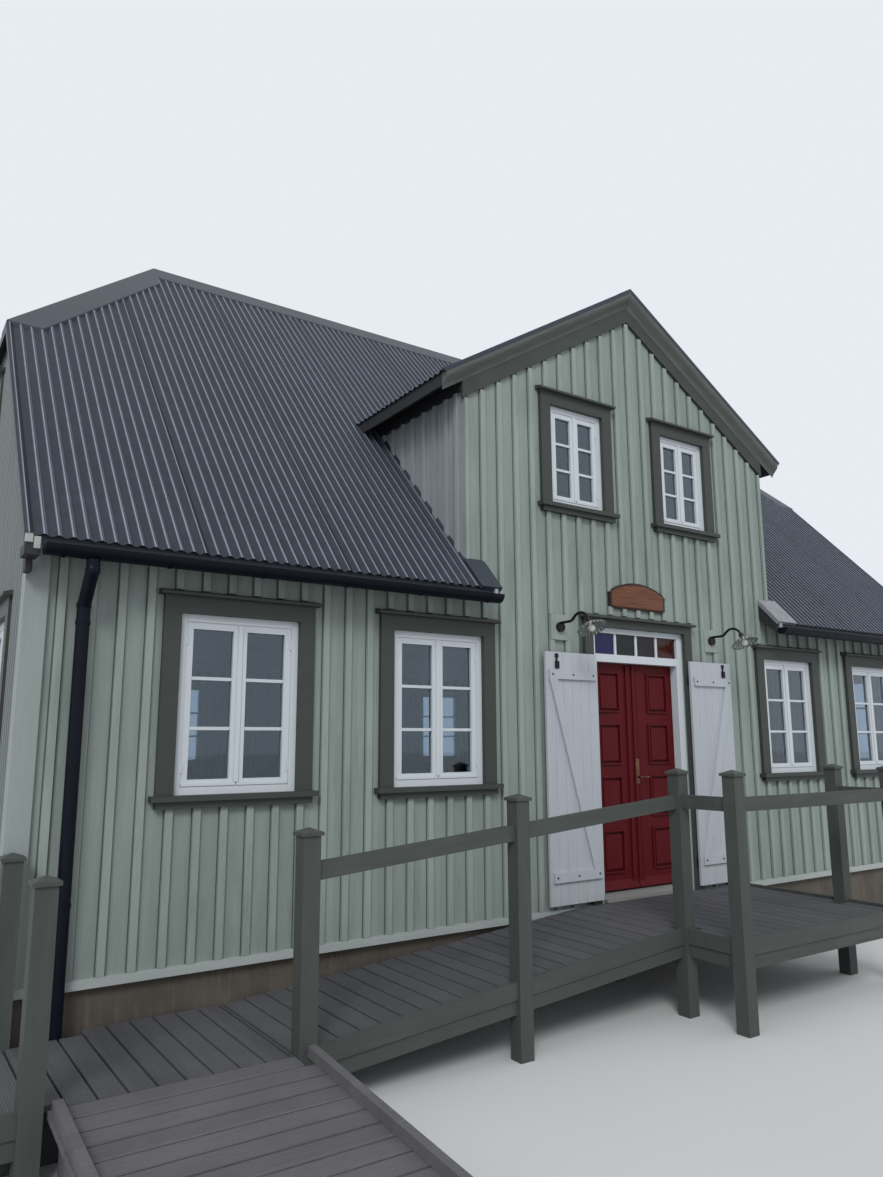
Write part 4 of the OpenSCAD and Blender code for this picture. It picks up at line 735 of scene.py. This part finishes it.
brass, tree, shader = finish("worn_brass", 0.42, 1.0)
tree.links.new(shades(tree, cloud(tree, 0.03, 5), (0.3, tint(88, 62, 50)), (0.7, tint(146, 112, 88))),
               shader.inputs["Base Color"])
relief(tree, shader, cloud(tree, 0.01, 3), 0.0003)
cover(brass, "door_handle")
iron, tree, shader = finish("black_iron", 0.4, 0.3)
tree.links.new(shades(tree, cloud(tree, 0.02, 5), (0.3, tint(16, 16, 18)), (0.7, tint(34, 34, 36))),
               shader.inputs["Base Color"])
relief(tree, shader, cloud(tree, 0.012, 4), 0.0006)
cover(iron, "door_left_hinges", "door_right_hinges", "shutter_left_hinges", "shutter_right_hinges",
      "hinge_seats", "lamp_arms")

# Door shutters: upright boards with beaded joints, painted white, held by two ledges and a
# brace with bolts through them. A black latch hangs near the upper outer corner.

chalk = painted("white_shutter_paint", tint(173, 178, 184), 0.5, "Z", 0.035, 0.0006, ("X", 0.093),
                tint(155, 159, 163))
cover(chalk, "shutter_left_ledges", "shutter_right_ledges")
PLANKS = 6              # upright boards in a shutter
JOINT = 0.0005          # half the gap between two
HALF_LEDGE = 0.0375     # half the breadth of a ledge
LATCH_X = 1.03          # the latch, from the doorway's middle
# Its strap, its head and its knob: half the breadth, how far each stands out, and how far its
# foot and head are under the shutter's top
LATCH = ((0.010, 0.008, 0.125, 0.014), (0.017, 0.012, 0.045, 0.014), (0.018, 0.020, 0.135, 0.075))
for side, body, name in ((-1, "left_shutter", "left"), (1, "right_shutter", "right")):
    lo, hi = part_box(f"shutter_{name}_boards")
    bm = bmesh.new()
    wide = (hi.x - lo.x) / PLANKS
    for i in range(PLANKS):
        block(bm, lo.x + i * wide + JOINT, lo.x + (i + 1) * wide - JOINT, lo.y, hi.y, lo.z, hi.z)
    made = soften(fitted(f"shutter_{name}_planks", bm, chalk, body), 0.004, 2)
    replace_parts(made, f"shutter_{name}_boards")
    bm = bmesh.new()
    x = side * LATCH_X
    for half, out, under_foot, under_head in LATCH:
        block(bm, x - half, x + half, lo.y - out, lo.y, hi.z - under_foot, hi.z - under_head)
    soften(fitted(f"shutter_{name}_latch", bm, iron, body), 0.004, 2)
    bolts = bmesh.new()
    ledge_lo, ledge_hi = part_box(f"shutter_{name}_ledges")
    for z in (ledge_lo.z + HALF_LEDGE, ledge_hi.z - HALF_LEDGE):
        for share in (0.06, 0.5, 0.94):
            x = ledge_lo.x + (ledge_hi.x - ledge_lo.x) * share
            place = Matrix.Translation((x, ledge_lo.y - 0.002, z)) @ Matrix.Rotation(math.pi / 2, 4, "X")
            bmesh.ops.create_cone(bolts, cap_ends=True, segments=16, radius1=0.009, radius2=0.006,
                                  depth=0.006, matrix=place)
    fitted(f"shutter_{name}_bolts", bolts, iron, body)

# Lamps: on each side of the door a painted board on the wall, a bent iron arm and a cone of
# ribbed glass round an opal bulb.

LAMP_X, LAMP_Y = 0.945, -3.6     # the middle of a shade in plan
lamp_glass, tree, shader = finish("ribbed_lamp_glass", 0.12)
sideways = sums(tree, "SUBTRACT", sums(tree, "ABSOLUTE", part_of(tree, "X")), LAMP_X)
turned = sums(tree, "ARCTAN2", sums(tree, "SUBTRACT", part_of(tree, "Y"), LAMP_Y), sideways)
ribs = sums(tree, "SINE", sums(tree, "MULTIPLY", turned, 24))
rib = sums(tree, "ADD", sums(tree, "MULTIPLY", ribs, 0.5), 0.5)
clear = shades(tree, rib, (0.25, (0.26, 0.28, 0.27, 1)), (0.75, (0.7, 0.74, 0.74, 1)))
tree.links.new(clear, shader.inputs["Base Color"])
shader.inputs["Transmission Weight"].default_value = 0.8
shader.inputs["IOR"].default_value = 1.45
relief(tree, shader, rib, 0.003)
cover(lamp_glass, "lamp_shades")
opal, tree, shader = finish("lamp_bulb_glass", 0.2)
tree.links.new(shades(tree, cloud(tree, 0.02, 2), (0.3, tint(222, 220, 212)), (0.7, tint(240, 238, 230))),
               shader.inputs["Base Color"])
cover(opal, "lamp_bulbs")

# Name board: a bare plank of varnished wood, sawn to an arched head and hung over the door. Its
# edge is cut back and dark.

plank, tree, shader = finish("varnished_name_board", 0.4)
grain = cloud(tree, 0.012, 6, (14, 1, 1), 0.6)
rings = shades(tree, grain, (0.25, tint(72, 42, 30)), (0.55, tint(108, 66, 47)), (0.8, tint(130, 84, 60)))
tree.links.new(rings, shader.inputs["Base Color"])
relief(tree, shader, grain, 0.001)
dark_edge, tree, shader = finish("name_board_edge", 0.5)
edge_grain = shades(tree, cloud(tree, 0.02, 5, (8, 1, 1)), (0.3, tint(36, 24, 20)), (0.7, tint(58, 38, 30)))
tree.links.new(edge_grain, shader.inputs["Base Color"])
board_lo, board_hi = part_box("sign_board")
middle = (board_lo.x + board_hi.x) / 2
half, top = (board_hi.x - board_lo.x) / 2, board_hi.z - board_lo.z
shoulder = 0.158        # where the arch begins
right = [(half - 0.02, 0), (half - 0.006, 0.006), (half, 0.02), (half, shoulder - 0.012),
         (half - 0.012, shoulder + 0.006)]
right += [(half * u, shoulder + (top - shoulder) * (1 - u * u)) for u in (0.88, 0.74, 0.6, 0.45, 0.3, 0.15)]
outline = right + [(0, top)] + [(-x, z) for x, z in reversed(right)]
bm = bmesh.new()
back = bm.faces.new([bm.verts.new((middle + x, board_hi.y, board_lo.z + z)) for x, z in outline])
pushed = bmesh.ops.extrude_face_region(bm, geom=[back])["geom"]
bmesh.ops.translate(bm, vec=(0, board_lo.y - board_hi.y + 0.004, 0),
                    verts=[part for part in pushed if isinstance(part, bmesh.types.BMVert)])
front = [part for part in pushed if isinstance(part, bmesh.types.BMFace)]
bmesh.ops.inset_region(bm, faces=front, thickness=0.012, depth=0)
bmesh.ops.inset_region(bm, faces=front, thickness=0.006, depth=0.004)
bmesh.ops.recalc_face_normals(bm, faces=bm.faces)
for face in front:
    face.material_index = 1
made = fitted("name_board", bm, dark_edge)
made.data.materials.append(plank)
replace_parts(soften(made, 0.002, 1), "sign_board")

# Deck, walk and landing: weathered grey boards laid across on joists, with open gaps. The boards
# of the lower ramp run the other way, on three stringers between two kerbs.

BOARD_GAP = 0.012       # between two boards
BOARD_T = 0.028         # thickness of a board
platform_lo, platform_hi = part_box("deck_platform")
landing_lo, landing_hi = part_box("landing")
ramp_lo, ramp_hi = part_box("lower_ramp")
DECK_TOP, LANDING_TOP = platform_hi.z, landing_hi.z
DECK_BACK, WALK_EDGE, PLATFORM_EDGE = platform_hi.y, landing_lo.y, platform_lo.y
LANDING_LEFT, WALK_LEFT = landing_lo.x, landing_hi.x
PLATFORM_LEFT, PLATFORM_RIGHT = platform_lo.x, platform_hi.x
RAMP_LEFT, RAMP_RIGHT, RAMP_HEAD, RAMP_FOOT = ramp_lo.x, ramp_hi.x, ramp_hi.y, ramp_lo.y
RAMP_START = 0.02       # height of the ramp's boards at its foot
HOUSE_JOIST, OUTER_JOIST = -3.395, -4.062
JOIST = (0.045, 0.145)  # thickness and depth
GROOVE = 0.012          # from one groove in a board to the next


def decking(name, along, board, shade):
    """Weathered boards: grey with darker grain, no two the same, and fine grooves."""
    mat, tree, shader = finish(name, 0.75)
    long = [16 if axis == along else 1 for axis in "XYZ"]
    cross = "Y" if along == "X" else "X"
    fibre = cloud(tree, 0.008, 6, long, 0.65)
    number = tree.nodes.new("ShaderNodeTexWhiteNoise")
    number.noise_dimensions = "1D"
    tree.links.new(sums(tree, "FLOOR", sums(tree, "DIVIDE", part_of(tree, cross), board)), number.inputs["W"])
    spots = sums(tree, "MULTIPLY", cloud(tree, 0.4, 6), 0.35)
    amount = sums(tree, "ADD", sums(tree, "MULTIPLY", fibre, 0.5), spots)
    amount = sums(tree, "ADD", amount, sums(tree, "MULTIPLY", number.outputs["Value"], 0.12))
    levels = ((0.3, 0.86), (0.52, 1.0), (0.75, 1.14))
    stops = [(at, tint(*(part * level for part in shade))) for at, level in levels]
    tree.links.new(shades(tree, amount, *stops), shader.inputs["Base Color"])
    groove = sums(tree, "SINE", sums(tree, "MULTIPLY", part_of(tree, cross), 2 * math.pi / GROOVE))
    relief(tree, shader, sums(tree, "ADD", fibre, sums(tree, "MULTIPLY", groove, 0.4)), 0.0015)
    return mat


def raised(verts, height):
    """Lifts a straight piece onto a slope."""
    for vert in verts:
        vert.co.z = max(0, vert.co.z + height(vert.co))


def walk_height(place):
    """The walk rises from the landing to the platform."""
    return LANDING_TOP + (place.x - WALK_LEFT) * (DECK_TOP - LANDING_TOP) / (PLATFORM_LEFT - WALK_LEFT)


def ramp_height(place):
    """The ramp rises from near the ground to the landing."""
    return RAMP_START + (place.y - RAMP_FOOT) * (LANDING_TOP - RAMP_START) / (RAMP_HEAD - RAMP_FOOT)


HOLE = 0.052            # half the side of the square left for a post
post_holes = [(x - HOLE, x + HOLE, y - HOLE, y + HOLE) for x, y in (
    (-3.651, -4.261), (-2.250, -4.261), (-0.800, -4.261), (-0.800, -4.731), (1.100, -4.731), (1.100, -4.261),
    (-4.911, -4.261), (-4.911, -3.296))]
pipe_hole = (-4.690, -4.590, -3.335, -3.1)      # for the downpipe at the left corner


def laid(bm, x0, x1, count, y0, y1, height):
    """A row of boards from x0 to x1, each from y0 to y1 and cut round posts and pipe."""
    pitch = (x1 - x0) / count
    for i in range(count):
        a, b = x0 + i * pitch + BOARD_GAP / 2, x0 + (i + 1) * pitch - BOARD_GAP / 2
        for low, high in open_runs(y0, y1, a, b, post_holes + [pipe_hole]):
            raised(block(bm, a, b, low, high, -BOARD_T, 0), height)


deck_wood = decking("deck_boards_grey", "Y", 0.1313, (84, 84, 88))
ramp_wood = decking("ramp_boards_grey", "X", 0.12857, (99, 98, 101))

bm = bmesh.new()
laid(bm, PLATFORM_LEFT, PLATFORM_RIGHT, 14, PLATFORM_EDGE, DECK_BACK, lambda place: DECK_TOP)
for y in (-4.577, -4.0635, HOUSE_JOIST):
    block(bm, PLATFORM_LEFT, PLATFORM_RIGHT, y, y + JOIST[0], DECK_TOP - BOARD_T - JOIST[1],
          DECK_TOP - BOARD_T)
for x in (-0.601, 0.801):
    block(bm, x, x + 0.098, HOUSE_JOIST, HOUSE_JOIST + JOIST[0], 0, DECK_TOP - BOARD_T - JOIST[1])
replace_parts(soften(fitted("platform_boards", bm, deck_wood), 0.002, 1), "deck_platform")

bm = bmesh.new()
laid(bm, WALK_LEFT, PLATFORM_LEFT, 22, WALK_EDGE, DECK_BACK, walk_height)
for y in (HOUSE_JOIST, OUTER_JOIST):
    raised(block(bm, WALK_LEFT, PLATFORM_LEFT, y, y + JOIST[0], -BOARD_T - JOIST[1], -BOARD_T), walk_height)
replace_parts(soften(fitted("walk_boards", bm, deck_wood), 0.002, 1), "sloping_walk")

bm = bmesh.new()
first, last = LANDING_LEFT + 0.062, WALK_LEFT - 0.025
for start, end, count in ((first, last, 14), (LANDING_LEFT, first, 1), (last, WALK_LEFT, 1)):
    laid(bm, start, end, count, WALK_EDGE, DECK_BACK, lambda place: LANDING_TOP)
for y in (HOUSE_JOIST, OUTER_JOIST):
    block(bm, LANDING_LEFT, WALK_LEFT, y, y + JOIST[0], 0, LANDING_TOP - BOARD_T)
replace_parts(soften(fitted("landing_boards", bm, deck_wood), 0.002, 1), "landing")

bm = bmesh.new()
RAMP_BOARDS = 28
RAMP_GAP = 0.014        # between two of them
ramp_pitch = (RAMP_HEAD - RAMP_FOOT) / RAMP_BOARDS
crossed = [(y0, y1, x0, x1) for x0, x1, y0, y1 in post_holes]
for i in range(RAMP_BOARDS):
    y0, y1 = RAMP_FOOT + i * ramp_pitch + RAMP_GAP / 2, RAMP_FOOT + (i + 1) * ramp_pitch - RAMP_GAP / 2
    for a, b in open_runs(RAMP_LEFT, RAMP_RIGHT, y0, y1, crossed):
        raised(block(bm, a, b, y0, y1, -BOARD_T, 0), ramp_height)
for x in (-4.782, -4.2445, -3.750):
    raised(block(bm, x, x + JOIST[0], RAMP_FOOT + 0.16, RAMP_HEAD, -1, -BOARD_T), ramp_height)
for x in (RAMP_LEFT + 0.010, RAMP_RIGHT - 0.055):
    raised(block(bm, x, x + JOIST[0], RAMP_FOOT, RAMP_HEAD - 0.05, 0.0, 0.055), ramp_height)
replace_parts(soften(fitted("ramp_boards", bm, ramp_wood), 0.002, 1), "lower_ramp")

# Posts with pointed caps, rails and edge boards: planed timber in a grey-green stain. The rails
# run from post to post.

STAIN, FADED_STAIN = tint(70, 75, 72), tint(88, 92, 88)
post_stain = painted("post_stain", STAIN, 0.6, "Z", 0.14, 0.0012, None, FADED_STAIN)
rail_stain = painted("rail_stain", STAIN, 0.6, "X", 0.14, 0.0012, None, FADED_STAIN)
cover(post_stain, "deck_posts")
cover(rail_stain, "deck_rails", "deck_edge_boards")

# Studio: a pale floor, one large soft lamp from the left in front, and an even pale sky that
# lights the house all round.

bm = bmesh.new()
bmesh.ops.create_grid(bm, x_segments=1, y_segments=1, size=120)
mesh = bpy.data.meshes.new("floor")
bm.to_mesh(mesh)
bm.free()
floor = bpy.data.objects.new("floor", mesh)
bpy.context.scene.collection.objects.link(floor)
ground, tree, shader = finish("studio_floor", 0.9)
tree.links.new(shades(tree, cloud(tree, 3.0, 3), (0.3, tint(205, 206, 206)), (0.7, tint(209, 210, 210))),
               shader.inputs["Base Color"])
shader.inputs["Specular IOR Level"].default_value = 0.1
floor.data.materials.append(ground)

scene = bpy.context.scene
scene.view_settings.view_transform = "Standard"
world = bpy.data.worlds.new("studio_sky")
world.use_nodes = True
tree = world.node_tree
sky = tree.nodes["Background"]
sky.inputs["Color"].default_value = (0.93, 0.96, 1.0, 1)
sky.inputs["Strength"].default_value = 0.77
white_sky = tree.nodes.new("ShaderNodeBackground")
white_sky.inputs["Color"].default_value = (0.80, 0.84, 0.89, 1)
white_sky.inputs["Strength"].default_value = 1
ray = tree.nodes.new("ShaderNodeLightPath")
seen = sums(tree, "MAXIMUM", ray.outputs["Is Camera Ray"],
            sums(tree, "MAXIMUM", ray.outputs["Is Glossy Ray"], ray.outputs["Is Transmission Ray"]))
joined = tree.nodes.new("ShaderNodeMixShader")
tree.links.new(seen, joined.inputs[0])
tree.links.new(sky.outputs[0], joined.inputs[1])
tree.links.new(white_sky.outputs[0], joined.inputs[2])
tree.links.new(joined.outputs[0], tree.nodes["World Output"].inputs["Surface"])
scene.world = world

lamp = bpy.data.lights.new("studio_lamp", "SUN")
lamp.energy = 1.45
lamp.angle = math.radians(20)
lamp_object = bpy.data.objects.new("studio_lamp", lamp)
lamp_object.rotation_euler = (math.radians(52), 0, math.radians(-38))
scene.collection.objects.link(lamp_object)

# The camera stands low before the left part of the front and looks up a little
camera = bpy.data.cameras.new("camera")
camera.lens = 26.29
camera.sensor_width = 36
camera.clip_end = 300
camera_object = bpy.data.objects.new("camera", camera)
camera_object.matrix_world = (
    Matrix.Translation((-5.668, -8.501, 1.832)) @ Matrix.Rotation(math.radians(-33.985), 4, "Z")
    @ Matrix.Rotation(math.radians(100.11), 4, "X") @ Matrix.Rotation(math.radians(-0.225), 4, "Z"))
scene.collection.objects.link(camera_object)
scene.camera = camera_object
